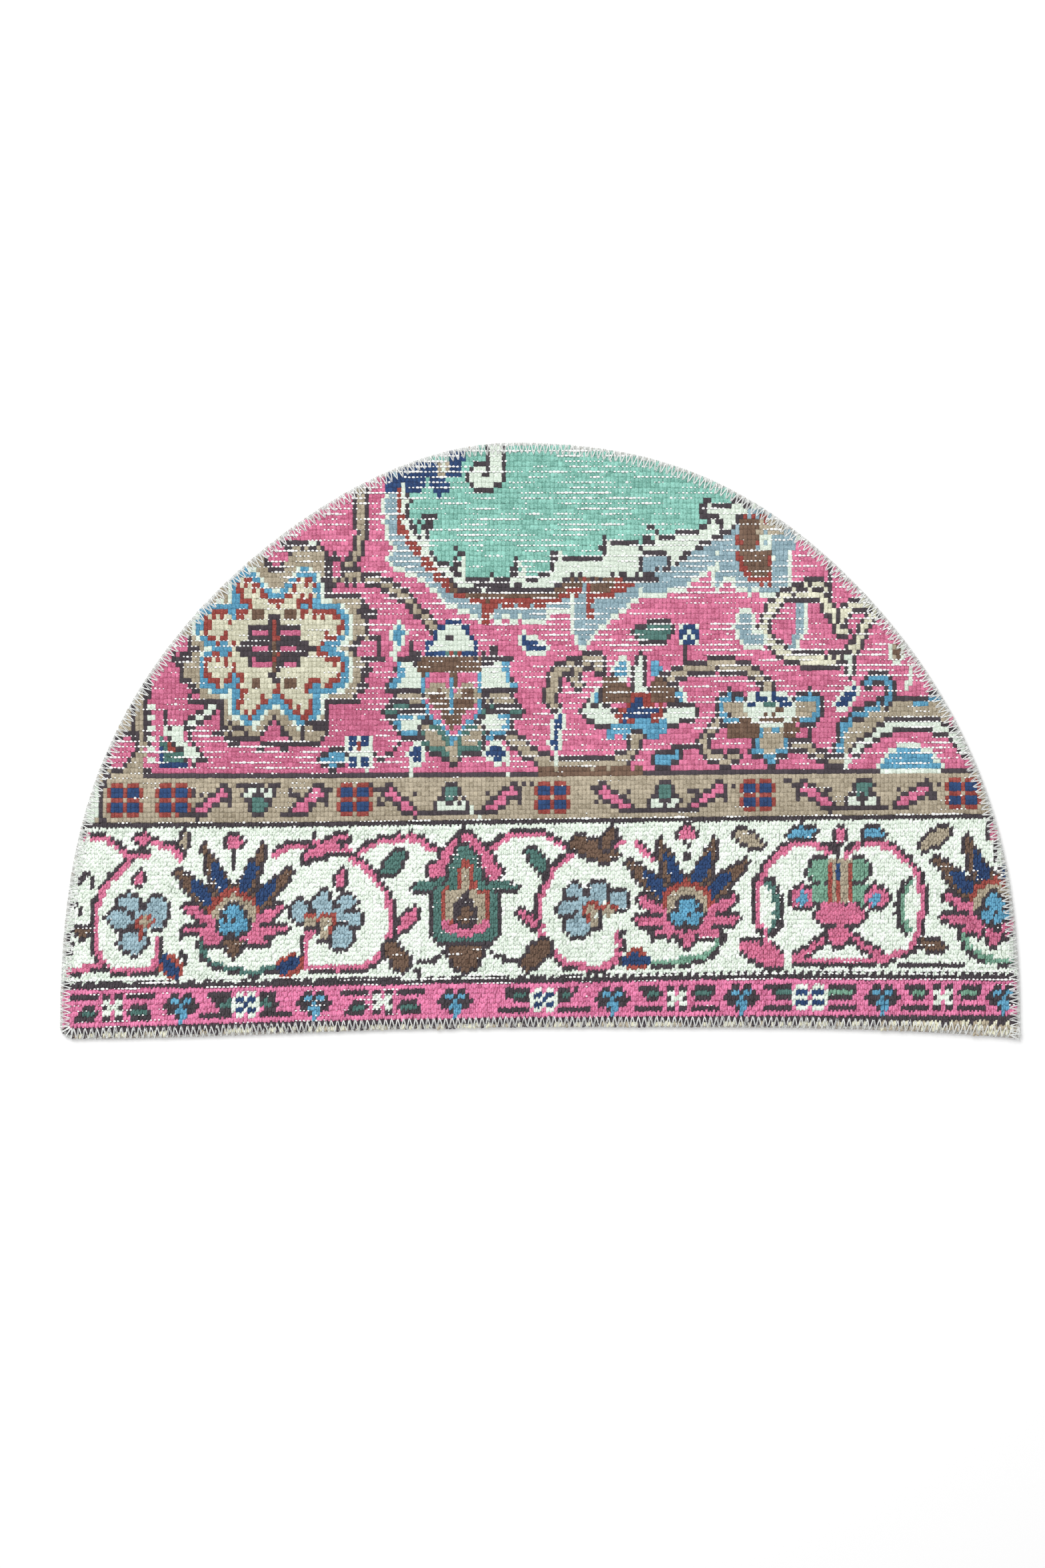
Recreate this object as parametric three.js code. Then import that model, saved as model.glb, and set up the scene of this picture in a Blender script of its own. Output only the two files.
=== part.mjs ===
// A half-round rug: a piece of hand-knotted wool carpet, cut to shape and overcast round its rim.
// Millimetres, +Z up. The origin lies under the middle of the rug, on the surface that it rests on.
// +X runs along the straight edge, +Y from that edge to the crown of the arc.

import * as THREE from "three";

// The cut, seen from above
const WIDTH = 800; // along the straight edge
const DEPTH = 497; // from the straight edge's corners to the crown
const FLANK_POWER = 2.25; // over 2, so the flanks stand a little fuller than an ellipse's
const CROWN_POWER = 1.9; // under 2, so the crown is a little more pointed than an ellipse's
const EDGE_RISE = 9.8; // how far the straight edge is drawn up in its middle
const LEFT_CORNER = 12; // radius of the rounded corner
const RIGHT_CORNER = 2; // radius of the sharp one

// How far the shears ran out of the true arc, in mm, at places given in degrees round it from the right corner.
const WAVER = [
  { at: 0, out: -0.5 },
  { at: 18, out: 1.5 },
  { at: 45, out: -1.5 },
  { at: 69, out: 1.5 },
  { at: 87, out: -0.5 },
  { at: 101, out: 3 },
  { at: 126, out: -1.6 },
  { at: 157, out: 3 },
  { at: 180, out: -1 },
];

// The cloth's thickness: foundation and pile together
const WORN_PILE = 4.3; // the field, walked down nearly to its knots
const FULL_PILE = 6.4; // the border along the straight edge
const WORN_FROM = -25; // the worn field starts above this y
const FULL_BELOW = -75; // and the fuller border lies below this one
const UNEVEN = 0.3; // hollows and swells of the pile

// The rim, squeezed round by its overcast stitches: each row goes further round it, from underside to top.
const RIM = [
  { inset: 2.2, height: 0 },
  { inset: 0.6, height: 0.5 },
  { inset: 0, height: 1.4 },
  { inset: 0, height: 2.8 },
  { inset: 0.6, height: 3.7 },
  { inset: 2.2, height: 4.2 },
];
const STITCH_REACH = 8; // from here inwards the pile stands free

// Steps along each stretch of the outline, and rings from the free pile to the middle
const ARC_STEPS = 84;
const CORNER_STEPS = 6;
const EDGE_STEPS = 36;
const TOP_RINGS = 12;

const HALF = WIDTH / 2;

function smooth(from, to, value) {
  return THREE.MathUtils.smoothstep(value, from, to);
}

// The rim's waver at an angle round the arc, in radians, easing from one row of the table to the next.
function waver(angle) {
  const at = THREE.MathUtils.radToDeg(angle);
  const next = Math.max(1, WAVER.findIndex((row) => row.at >= at));
  const a = WAVER[next - 1];
  const b = WAVER[next];
  const ease = (1 - Math.cos((Math.PI * (at - a.at)) / (b.at - a.at))) / 2;
  return a.out + (b.out - a.out) * ease;
}

// How far the straight edge is drawn up at x: a long hollow, steeper towards its right end.
function edgeRise(x) {
  const u = x / HALF;
  return EDGE_RISE * (u < 0 ? (1 + Math.cos(Math.PI * u)) / 2 : 1 - u ** 4);
}

// A point of the arc, a little way inside the cut.
function arcPoint(angle, inset) {
  const c = Math.cos(angle);
  const s = Math.sin(angle);
  const x = HALF * Math.sign(c) * Math.abs(c) ** (2 / CROWN_POWER);
  const y = DEPTH * s ** (2 / FLANK_POWER);
  const outwards = new THREE.Vector2(c / HALF, s / DEPTH).normalize();
  return new THREE.Vector2(x, y).addScaledVector(outwards, waver(angle) - inset);
}

// The angle at which one end of the arc stands at a given height above the corners.
function angleAt(height) {
  return Math.asin((height / DEPTH) ** (FLANK_POWER / 2));
}

// A quarter turn between flank and straight edge, starting at the given angle.
function corner(centre, radius, start) {
  return Array.from({ length: CORNER_STEPS - 1 }, (_, i) => {
    const angle = start + ((i + 1) * Math.PI) / 2 / CORNER_STEPS;
    return new THREE.Vector2(
      centre.x + radius * Math.cos(angle),
      centre.y + radius * Math.sin(angle),
    );
  });
}

// The whole cut as a ring of points, anticlockwise from the right corner, the same number for every inset.
function outline(inset) {
  const leftRadius = Math.max(LEFT_CORNER - inset, 0.3);
  const rightRadius = Math.max(RIGHT_CORNER - inset, 0.3);
  const start = angleAt(inset + rightRadius);
  const end = Math.PI - angleAt(inset + leftRadius);
  const arc = Array.from({ length: ARC_STEPS + 1 }, (_, i) =>
    arcPoint(start + ((end - start) * i) / ARC_STEPS, inset),
  );
  const leftCentre = arc[ARC_STEPS].clone().add(new THREE.Vector2(leftRadius, 0));
  const rightCentre = arc[0].clone().sub(new THREE.Vector2(rightRadius, 0));
  const edge = Array.from({ length: EDGE_STEPS + 1 }, (_, i) => {
    const x = leftCentre.x + ((rightCentre.x - leftCentre.x) * i) / EDGE_STEPS;
    return new THREE.Vector2(x, edgeRise(x) + inset);
  });
  return [
    ...arc,
    ...corner(leftCentre, leftRadius, Math.PI),
    ...edge,
    ...corner(rightCentre, rightRadius, 1.5 * Math.PI),
  ];
}

// Height of the pile at a point of the cut: thin in the worn field, full in the border, and never quite even.
function pileHeight(point) {
  const y = point.y - DEPTH / 2;
  const full = 1 - smooth(FULL_BELOW, WORN_FROM, y);
  const swell = Math.sin(point.x / 61 + 1) * Math.cos(y / 47) + Math.sin((point.x + y) / 33) / 2;
  return WORN_PILE + (FULL_PILE - WORN_PILE) * full + UNEVEN * swell;
}

function raised(point, height) {
  return new THREE.Vector3(point.x, point.y, height);
}

// Joins rings of equal length into one closed skin, with a point that closes it at each end.
function loft(rings, firstPoint, lastPoint) {
  const count = rings[0].length;
  const points = [firstPoint, ...rings.flat(), lastPoint];
  const faces = [];
  const at = (ring, i) => 1 + ring * count + (i % count);
  for (let i = 0; i < count; i++) {
    faces.push(0, at(0, i + 1), at(0, i));
    for (let ring = 0; ring + 1 < rings.length; ring++) {
      faces.push(at(ring, i), at(ring, i + 1), at(ring + 1, i + 1));
      faces.push(at(ring, i), at(ring + 1, i + 1), at(ring + 1, i));
    }
    faces.push(at(rings.length - 1, i), at(rings.length - 1, i + 1), points.length - 1);
  }
  return new THREE.BufferGeometry().setFromPoints(points).setIndex(faces);
}

// The rug: flat underneath, round at its rim, and rising to the pile inside its stitches.
function rugGeometry() {
  const middle = new THREE.Vector2(0, DEPTH * 0.45);
  const rim = RIM.map(({ inset, height }) => outline(inset).map((p) => raised(p, height)));
  const free = outline(STITCH_REACH);
  const top = Array.from({ length: TOP_RINGS }, (_, ring) =>
    free.map((p) => {
      const q = p.clone().lerp(middle, ring / TOP_RINGS);
      return raised(q, pileHeight(q));
    }),
  );
  const geometry = loft([...rim, ...top], raised(middle, 0), raised(middle, pileHeight(middle)));

  // The wavering cut is trued to its full width and depth, and centred.
  geometry.computeBoundingBox();
  const size = geometry.boundingBox.getSize(new THREE.Vector3());
  const centre = geometry.boundingBox.getCenter(new THREE.Vector3());
  geometry.translate(-centre.x, -centre.y, 0);
  geometry.scale(WIDTH / size.x, DEPTH / size.y, 1);
  geometry.computeVertexNormals();
  return geometry;
}

const wool = new THREE.MeshStandardMaterial({ color: 0xc9899b, roughness: 0.95, metalness: 0 });

const rug = new THREE.Mesh(rugGeometry(), wool);
rug.name = "knotted_rug";

const group = new THREE.Group();
group.add(rug);

export default group;
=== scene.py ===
# %% [markdown]
# # A half-round knotted rug
# The real thing is a piece of worn, hand-knotted wool carpet, cut as half a round and overcast along its
# rim. A rug like this could be a flat card with a picture on it, but then nothing would be left of it up
# close or from low down. Here it is made as it was woven: a foundation, about 23,000 knots, each with
# its own dye, weft that shows where the pile is worn off, and the thread round the rim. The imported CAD
# solid is loaded first, as the frame. It fixes the size and the place of everything else.

import bmesh
import bpy
import numpy as np
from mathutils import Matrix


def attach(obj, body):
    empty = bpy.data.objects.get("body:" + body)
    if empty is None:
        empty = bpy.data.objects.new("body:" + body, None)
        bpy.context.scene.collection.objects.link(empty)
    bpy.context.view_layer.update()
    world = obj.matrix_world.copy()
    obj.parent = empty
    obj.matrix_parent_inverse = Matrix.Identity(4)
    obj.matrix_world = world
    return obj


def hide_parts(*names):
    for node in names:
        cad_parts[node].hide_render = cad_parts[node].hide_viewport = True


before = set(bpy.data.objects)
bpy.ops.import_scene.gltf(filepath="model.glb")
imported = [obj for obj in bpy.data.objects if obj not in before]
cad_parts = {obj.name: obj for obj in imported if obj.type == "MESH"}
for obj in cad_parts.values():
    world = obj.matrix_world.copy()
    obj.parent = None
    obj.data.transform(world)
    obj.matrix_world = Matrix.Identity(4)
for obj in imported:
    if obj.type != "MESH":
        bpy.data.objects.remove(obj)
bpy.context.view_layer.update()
MM = 0.001
rng = np.random.default_rng(1443)

# %% [markdown]
# ## The cut
# The mat was cut from a bigger carpet as half a round, along a formula that the CAD solid has too:
# fuller flanks than an ellipse's, a more pointed crown, a rounded left corner and a sharp right one. The
# shears wavered a few mm, and the straight edge is drawn up in its middle. Making the same outline here
# lets pile, foundation and thread all end where the solid does.

# %% Measures of the cut
WIDTH, DEPTH = 800.0, 497.0  # mm along the straight edge, and from it to the crown
HALF = WIDTH / 2
FLANK_POWER, CROWN_POWER = 2.25, 1.9  # 2 and 2 would be an ellipse
EDGE_RISE = 9.8
LEFT_CORNER, RIGHT_CORNER = 12.0, 2.0
# Degrees round the arc from the right corner, and how far the shears ran out there
WAVER = (
    (0, -0.5), (18, 1.5), (45, -1.5), (69, 1.5), (87, -0.5), (101, 3), (126, -1.6), (157, 3), (180, -1),
)


def waver(angle):
    """How far the cut ran out at an angle round the arc, easing from one row of the table to the next."""
    at, out = np.array(WAVER, float).T
    i = np.clip(np.searchsorted(at, np.degrees(angle)), 1, len(at) - 1)
    t = (np.degrees(angle) - at[i - 1]) / (at[i] - at[i - 1])
    return out[i - 1] + (out[i] - out[i - 1]) * (1 - np.cos(np.pi * t)) / 2


def edge_rise(x):
    """How far the straight edge is drawn up at x: a long hollow, steeper towards its right end."""
    u = x / HALF
    return EDGE_RISE * np.where(u < 0, (1 + np.cos(np.pi * u)) / 2, 1 - u**4)


print("straight edge rises", float(edge_rise(0)), "mm in its middle")

# %% [markdown]
# ## The outline
# The arc, the two corners and the straight edge are joined into one ring of points. A ring can lie a
# little inside the cut, as a hem does, and take more or fewer steps. The wavering cut is then trued to
# its full width and depth and centred, as the CAD solid is.

# %% Outline


def outline(inset=0.0, arc_steps=240, corner_steps=8, edge_steps=120):
    """The cut as a ring of points, anticlockwise from the right corner, a little way inside it."""
    left, right = (max(r - inset, 0.3) for r in (LEFT_CORNER, RIGHT_CORNER))
    start = np.arcsin(((inset + right) / DEPTH) ** (FLANK_POWER / 2))
    end = np.pi - np.arcsin(((inset + left) / DEPTH) ** (FLANK_POWER / 2))
    a = np.linspace(start, end, arc_steps + 1)
    c, s = np.cos(a), np.sin(a)
    across = HALF * np.sign(c) * np.abs(c) ** (2 / CROWN_POWER)
    arc = np.column_stack([across, DEPTH * s ** (2 / FLANK_POWER)])
    outwards = np.column_stack([c / HALF, s / DEPTH])
    arc += outwards / np.linalg.norm(outwards, axis=1)[:, None] * (waver(a) - inset)[:, None]
    quarter = np.radians(np.linspace(0, 90, corner_steps + 1))[1:-1, None]
    left_centre, right_centre = arc[-1] + (left, 0), arc[0] - (right, 0)
    left_turn = left_centre + left * np.hstack([np.cos(quarter + np.pi), np.sin(quarter + np.pi)])
    right_turn = right_centre + right * np.hstack([np.sin(quarter), -np.cos(quarter)])
    x = np.linspace(left_centre[0], right_centre[0], edge_steps + 1)
    edge = np.column_stack([x, edge_rise(x) + inset])
    return np.vstack([arc, left_turn, edge, right_turn])


rim = outline()
CENTRE = (rim.min(0) + rim.max(0)) / 2
TRUE = np.array([WIDTH, DEPTH]) / np.ptp(rim, axis=0)


def cut(inset=0.0, **steps):
    """The outline in the part's frame."""
    return (outline(inset, **steps) - CENTRE) * TRUE


print("cut:", np.round(np.ptp(cut(), axis=0), 1), "mm")

# %% [markdown]
# ## The loom
# A knotted carpet is built row by row: each knot ties one tuft of wool round two warps, and after each
# row a weft locks it. So the pattern is a chart of knots, as on squared paper. Here every knot gets a
# place in mm, because the drawing is done in mm. The beaten rows aren't quite straight, nor are they all
# the same height, and a short table of sags gives the borders the slight bend that they have on the real
# rug.

# %% Rows of knots
KNOT = 3.35  # mm between knots along a row, which is two warps
# Heights, halfway along the rug, of the lines between its bands
FIELD_LINE, GUARD_LINE = -28.0, -66.8
STRIPE_TOP, STRIPE_LINE, OUTER_LINE = -192.5, -198.8, -231.0
# Each zone of rows, from the crown down: its first and last height, and how many rows it has
ZONES = (
    (256.4, FIELD_LINE, 65),
    (FIELD_LINE, GUARD_LINE, 10),
    (GUARD_LINE, STRIPE_TOP, 35),
    (STRIPE_TOP, STRIPE_LINE, 2),
    (STRIPE_LINE, OUTER_LINE, 8),
    (OUTER_LINE, -251.0, 5),
)
levels = np.concatenate([np.linspace(a, b, n, endpoint=False) for a, b, n in ZONES])
row_step = np.concatenate([np.full(n, (a - b) / n) for a, b, n in ZONES])
print("rows:", len(levels), "of", np.round([row_step.min(), row_step.max()], 2), "mm")

# %% Where each knot lies
STATIONS = (-400, -200, 0, 200, 400)  # places along the rug
# How far the rows lie above their middle height at each station
SAG = {
    OUTER_LINE: (-10, -3.5, 0, 0.8, 1.2),
    STRIPE_LINE: (-5.5, -2.5, 0, 3.6, 2.4),
    GUARD_LINE: (-3.5, -2.7, 0, 2.5, 4.8),
    FIELD_LINE: (-1.2, -1.2, 0, 2.3, 3.2),
    100: (-0.5, -0.3, 0, 0.5, 1),
    250: (0, 0, 0, 0, 0),
}
SIDE_KNOTS = 119  # on either side of the middle one
columns = np.arange(-SIDE_KNOTS, SIDE_KNOTS + 1) * KNOT
at_station = np.array([np.interp(levels, list(SAG), bends) for bends in zip(*SAG.values())])
sag = np.array([np.interp(columns, STATIONS, bend) for bend in at_station.T])
X = np.tile(columns, (len(levels), 1))
LEVEL = np.tile(levels[:, None], (1, len(columns)))
Y = LEVEL + sag
chart = np.zeros(X.shape, int)
print("loom:", X.shape[0], "rows of", X.shape[1], "knots")

# %% [markdown]
# ## The dyes
# The chart holds one number a knot, which is that of its dye. The fourteen colours are the reds, blues,
# greens and browns of a village dyer and two undyed wools, all faded. They are given as sRGB hex values,
# as a colour picker shows them, and turned linear only where a material needs them.

# %% Dyes
DYES = {
    "rose": "#d17495",
    "teal": "#89c1b3",
    "cream": "#ecf7ea",
    "oat": "#d8d6bf",
    "camel": "#ada28d",
    "navy": "#22426f",
    "sky": "#63a4c2",
    "mist": "#9ab5bf",
    "brown": "#6e5646",
    "dark": "#423a40",
    "green": "#4f7770",
    "sage": "#79a58f",
    "brick": "#a04c44",
    "pink": "#e283ab",
}
DYE = {name: number for number, name in enumerate(DYES)}


def tell(what, *names):
    """Prints how many knots of the chart have each of the dyes named."""
    counts = [f"{int((chart == DYE[name]).sum())} {name}" for name in names]
    print(what + ":", ", ".join(counts), "knots so far")


print("dyes:", len(DYES))

# %% [markdown]
# ## The cartoon
# A weaver knots from a cartoon: shapes drawn on squared paper, where each square is one knot. The same
# is done here. A shape is a mask over the knots, true where it lies, and painting it sets the dye of
# those knots. A dark line one knot wide round a shape is what a weaver does to make it stand out, so
# paint can add one, on all four sides or on some.

# %% Painting a mask
ALL_SIDES = "above below left right"


def grow(mask, sides=ALL_SIDES):
    """The mask and the knots next to it on the sides named."""
    m = np.pad(mask, 1)
    beside = {"above": m[2:, 1:-1], "below": m[:-2, 1:-1], "left": m[1:-1, 2:], "right": m[1:-1, :-2]}
    for side in sides.split():
        mask = mask | beside[side]
    return mask


def paint(mask, dye, edge=None, sides=ALL_SIDES):
    """Dyes the knots of a mask, and with an edge also those next to it on the sides named."""
    if edge:
        chart[grow(mask, sides) & ~mask] = DYE[edge]
    chart[mask] = DYE[dye]


spot = np.zeros((3, 3), bool)
spot[1, 1] = True
print("a knot and its edge:", int(grow(spot).sum()), "knots")

# %% [markdown]
# ## Shapes
# Motifs are drawn about a middle of their own, in mm, so one that comes twice, or that is the same left
# and right, is drawn once and mirrored. Nobody reads a cartoon to the knot: outlines come out a little
# ragged, most of all in the worn field. So each knot has a small random slip of its own, the same for
# all shapes.

# %% Smooth lines
THIN = 3.4  # mm, the width of a stroke of one knot
SLIP = rng.normal(0, 0.55, (2, *X.shape)) * np.where(LEVEL > GUARD_LINE, 1, 0.65)


def curved(points, steps=6):
    """A smooth line through a few points."""
    p = np.array([points[0], *points, points[-1]], float)
    t = np.linspace(0, 1, steps, endpoint=False)[:, None]
    a, b, c, d = (p[i : len(p) - 3 + i][:, None] for i in range(4))
    line = b + 0.5 * t * (c - a + t * (2 * a - 5 * b + 4 * c - d + t * (3 * (b - c) + d - a)))
    return np.vstack([line.reshape(-1, 2), p[-1]])


def aside(points, distance):
    """A smooth line through points, moved to the left of the way it runs."""
    line = curved(points)
    way = np.gradient(line, axis=0)
    way /= np.linalg.norm(way, axis=1)[:, None] + 1e-9
    return line + np.column_stack([-way[:, 1], way[:, 0]]) * distance


print("slip:", round(float(np.abs(SLIP).mean()), 2), "mm on average")

# %% Ovals, boxes, straight-sided shapes and strokes


class Place:
    """A middle to draw round, in mm. sx and sy of -1 mirror what is drawn.
    With LEVEL for heights, what is drawn sags as its band does."""

    def __init__(self, x=0, y=0, sx=1, sy=1, heights=Y, slip=SLIP):
        self.u = (X + slip[0] - x) / sx
        self.v = (heights + slip[1] - y) / sy

    def oval(self, u, v, ru, rv=None, turn=0):
        c, s = np.cos(np.radians(turn)), np.sin(np.radians(turn))
        du, dv = self.u - u, self.v - v
        return ((du * c + dv * s) / ru) ** 2 + ((dv * c - du * s) / (rv or ru)) ** 2 < 1

    def leaf(self, tail, tip, width):
        """An oval from a tail to a tip."""
        (u0, v0), (u1, v1) = tail, tip
        length = np.hypot(u1 - u0, v1 - v0)
        turn = np.degrees(np.arctan2(v1 - v0, u1 - u0))
        return self.oval((u0 + u1) / 2, (v0 + v1) / 2, length / 2, width / 2, turn)

    def box(self, u0, u1, v0, v1):
        return (self.u > u0) & (self.u < u1) & (self.v > v0) & (self.v < v1)

    def shape(self, *points):
        """A straight-sided shape. A line from a knot inside to its right crosses an odd number of sides."""
        inside = np.zeros(X.shape, bool)
        for (u0, v0), (u1, v1) in zip(points, points[1:] + points[:1]):
            if v0 != v1:
                crosses = (v0 > self.v) != (v1 > self.v)
                inside ^= crosses & (self.u < u0 + (u1 - u0) * (self.v - v0) / (v1 - v0))
        return inside

    def line(self, width, *points, smooth=True):
        """A stroke of a width along points. A width of (a, b) tapers from the one to the other."""
        points = curved(points) if smooth and len(points) > 2 else np.array(points, float)
        widths = np.linspace(*(width if hasattr(width, "__len__") else (width, width)), len(points))
        mask = np.zeros(X.shape, bool)
        for (u0, v0), (u1, v1), w0, w1 in zip(points, points[1:], widths, widths[1:]):
            du, dv = u1 - u0, v1 - v0
            t = ((self.u - u0) * du + (self.v - v0) * dv) / max(du * du + dv * dv, 1e-6)
            t = np.clip(t, 0, 1)
            away = np.hypot(self.u - u0 - t * du, self.v - v0 - t * dv)
            mask |= away < (w0 + t * (w1 - w0)) / 2
        return mask


rug = Place()
print("a disc 20 mm wide:", int(rug.oval(0, 100, 10).sum()), "knots")

# %% [markdown]
# ## Small charts
# What is only a few knots wide can't be drawn from curves: a knot more or less changes it. A weaver has
# such things by heart as a little chart, so these are written as rows of letters, one for each knot, and
# stamped on the cartoon. The letters below stand for the dyes.

# %% Stamps
KEYS = {
    "c": "cream",
    "k": "camel",
    "s": "sky",
    "n": "navy",
    "a": "sage",
    "g": "green",
    "b": "brick",
    "o": "brown",
    "d": "dark",
}


def stamp(x, y, *rows, heights=Y):
    """Dyes the knots round a place from a small chart, one letter a knot. A dot leaves a knot as it is."""
    middle = int(np.abs(columns - x).argmin())
    column = middle - len(rows[0]) // 2
    first = int(np.abs(heights[:, middle] - y).argmin()) - len(rows) // 2
    for i, letters in enumerate(rows):
        for j, letter in enumerate(letters):
            if letter != "." and 0 <= first + i < X.shape[0] and 0 <= column + j < X.shape[1]:
                chart[first + i, column + j] = DYE[KEYS[letter]]


print("letters:", len(KEYS))

# %% [markdown]
# ## Grounds and bands
# What the cut has left shows four grounds, one below the other: a rose field with a slice of a teal
# medallion at its crown, a camel guard, a broad cream main border and a second rose border. Dark lines
# part them. A last camel strip below them is speckled, and so is the cream stripe above the second rose
# border.

# %% Grounds
chart[:] = DYE["rose"]
for top, foot, dye in ((-29.5, -65, "camel"), (-68.5, -191, "cream"), (-200.5, -229, "pink")):
    chart[(LEVEL < top) & (LEVEL > foot)] = DYE[dye]
for line in (FIELD_LINE, GUARD_LINE, STRIPE_LINE, OUTER_LINE):
    chart[np.abs(LEVEL - line) < 1] = DYE["dark"]
tell("bands", "rose", "camel", "cream", "pink", "dark")

# %% Stripe and last strip
speck = rng.random(X.shape)
between = np.abs(LEVEL - (STRIPE_TOP + STRIPE_LINE) / 2) < 1
every_other = np.arange(len(columns)) % 2 == 0
chart[(np.abs(LEVEL - STRIPE_TOP) < 1) | between] = DYE["cream"]
chart[between & np.where(X < 60, speck < 0.7, every_other)] = DYE["dark"]  # more even at the right
chart[LEVEL < OUTER_LINE - 1] = DYE["camel"]
chart[(LEVEL < OUTER_LINE - 1) & (speck < 0.4)] = DYE["oat"]
chart[(np.abs(LEVEL - OUTER_LINE + 4) < 1) & (speck > 0.5)] = DYE["dark"]  # so the line has teeth
tell("last strip", "camel", "oat")

# %% [markdown]
# ## The medallion at the crown
# Part of a teal medallion is left, with a serrated rim. A weaver sets such a rim off with several lines.
# Each could be a stroke beside the one before, but strokes leave gaps at sharp corners. Here each is a
# layer that fills all above its edge, painted from the outermost inwards: pale, grey-blue, brick, brown,
# dark, cream, dark again and teal.

# %% Layers of the medallion
ABOVE, BEYOND = 260, 400  # mm, outside the cut above the crown and to its right


def layer(*points):
    """Everything above an edge that runs from the left of the crown to its right."""
    return rug.shape(*points, (BEYOND, ABOVE), (points[0][0], ABOVE))


MIST_LEFT = ((-127, 215), (-127, 168), (-118, 160), (-126, 149), (-100, 137), (-76, 115), (-50, 103))
MIST_MIDDLE = ((5, 103), (8, 111), (34, 111), (80, 121), (118, 127), (142, 147), (145, 147), (145, 127))
MIST_NOTCH = ((149, 127), (151, 134), (158, 139), (162, 134), (163, 128), (172, 125))
MIST_RIGHT = ((206, 125), (206, 158), (212, 170), (230, 182))
paint(layer(*MIST_LEFT, *MIST_MIDDLE, *MIST_NOTCH, *MIST_RIGHT), "mist", edge="cream")
point = rug.shape((29, 124), (29, 92), (33, 79), (37, 79), (46, 92), (56, 101), (80, 120), (80, 126))
paint(point, "mist", edge="cream", sides="left right below")
BRICK_LEFT = ((-119, 210), (-118, 174), (-94, 141), (-72, 120), (-45, 112), (6, 112))
BRICK_RIGHT = ((30, 122), (50, 117), (80, 128), (90, 150))
paint(layer(*BRICK_LEFT, *BRICK_RIGHT) & (X < 80), "brick")
for x, low, high in ((-46, 100, 114), (-40, 107, 114), (41, 103, 124)):
    paint(rug.line(6.5, (x, high), (x, low)), "brick")
BROWN = ((-76, 124), (-45, 117), (6, 117), (26, 127), (42, 124), (60, 124), (66, 150))
paint(layer(*BROWN) & (X < 62), "brown")
tell("outer layers", "mist", "brick", "brown")

# %% Inner layers and the teal
DARK_LEFT = ((-115, 208), (-114, 178), (-90, 147), (-66, 122), (4, 122))
DARK_RIGHT = ((26, 134), (100, 134), (134, 162), (152, 168), (176, 192))
paint(layer(*DARK_LEFT, *DARK_RIGHT), "dark")
CREAM_LEFT = ((-115, 208), (-114, 178), (-92, 150), (-64, 126), (4, 126))
CREAM_RIGHT = ((26, 138), (100, 138), (133, 166), (152, 172), (172, 194))
paint(layer(*CREAM_LEFT, *CREAM_RIGHT), "cream")
paint(rug.line(THIN, (-56, 130), (-16, 130), smooth=False), "dark")
TEAL_LEFT = ((-109, 212), (-108, 182), (-86, 152), (-66, 138), (6, 138), (14, 153), (50, 153))
TEAL_RIGHT = ((56, 165), (90, 165), (98, 172), (128, 176), (150, 186), (180, 202))
paint(layer(*TEAL_LEFT, *TEAL_RIGHT) & ~rug.box(137, 180, 170, 200), "teal", edge="dark")
tell("inner layers", "teal", "cream")

# %% [markdown]
# ## Leaves on the edge of the teal
# Small hooked leaves break the edge: each is a dark spike into the teal with a cream root. They differ
# only in place and reach, so one function draws them. Between them the edge has a few strokes of its
# own.

# %% Hooked leaves


def hooked_leaf(x, y, reach):
    """A spike into the teal, dark on its left and cream at its root."""
    top = y + reach
    paint(rug.line((7, 3), (x, y), (x + 1, top)) | rug.line(3, (x, top), (x + 6, top - 3)), "dark")
    paint(rug.line((6, 3), (x + 6, y - 6), (x + 5, y + reach / 2)), "cream")


for place in ((-70, 145, 14), (-21, 141, 10), (12, 152, 8), (53, 160, 8), (91, 168, 9), (136, 190, 12)):
    hooked_leaf(*place)
tell("hooked leaves", "dark", "cream")

# %% Strokes between them
paint(rug.line((5, 8), (-92, 184), (-95, 168)), "dark")
paint(rug.line(4, (-106, 178), (-98, 184), (-88, 187)), "dark")
paint(rug.line((3, 8), (-98, 176), (-95, 158)), "cream")
paint(rug.line(5, (134, 162), (135, 166)) | rug.line(4, (140, 187), (146, 188)), "dark")
paint(rug.line(THIN, (150, 182), (153, 172)), "dark")
wedge = rug.shape((30, 108), (35, 130), (38, 130), (38, 108))
paint(wedge, "mist", edge="brick", sides="above right")
paint(rug.line(THIN, (147, 156), (147, 144)), "cream")
paint(rug.box(87, 104, 143, 152), "mist", edge="dark")
paint(rug.box(96, 122, 138, 142), "mist")
tell("strokes", "dark", "mist")

# %% [markdown]
# ## What hangs into the medallion from the crown
# The shears cut through a hook and a navy flower, so only the lower part of each is left. Both are drawn
# a little beyond the cut, which takes off the rest.

# %% Hook and half flower
hook = rug.line(8.5, (-37, 260), (-37, 222), (-40, 216), (-50, 215), (-54, 220), (-50, 226))
paint(hook, "cream", edge="dark")
for u, v in ((-122, 214), (-110, 222), (-104, 212), (-98, 226)):
    paint(rug.oval(u, v, 8), "navy")
for u, v in ((-70, 236), (-84, 212), (-72, 226), (-90, 224)):
    paint(rug.oval(u, v, 8), "navy")
paint(rug.oval(-82, 224, 5), "camel")
stamp(-82, 225, "kck", ".c.")
tell("hook and flower", "navy")

# %% [markdown]
# ## The rosette on the left
# Eight round petals, rimmed in sky blue and serrated in brick, about a dark cross. The petals come in
# pairs with a notch between. A function that gives the whole outline for a radius and a notch draws it
# four times, each time smaller: a camel halo with a dark edge, a cream line, the sky rim, and the pale
# inside.

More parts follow.
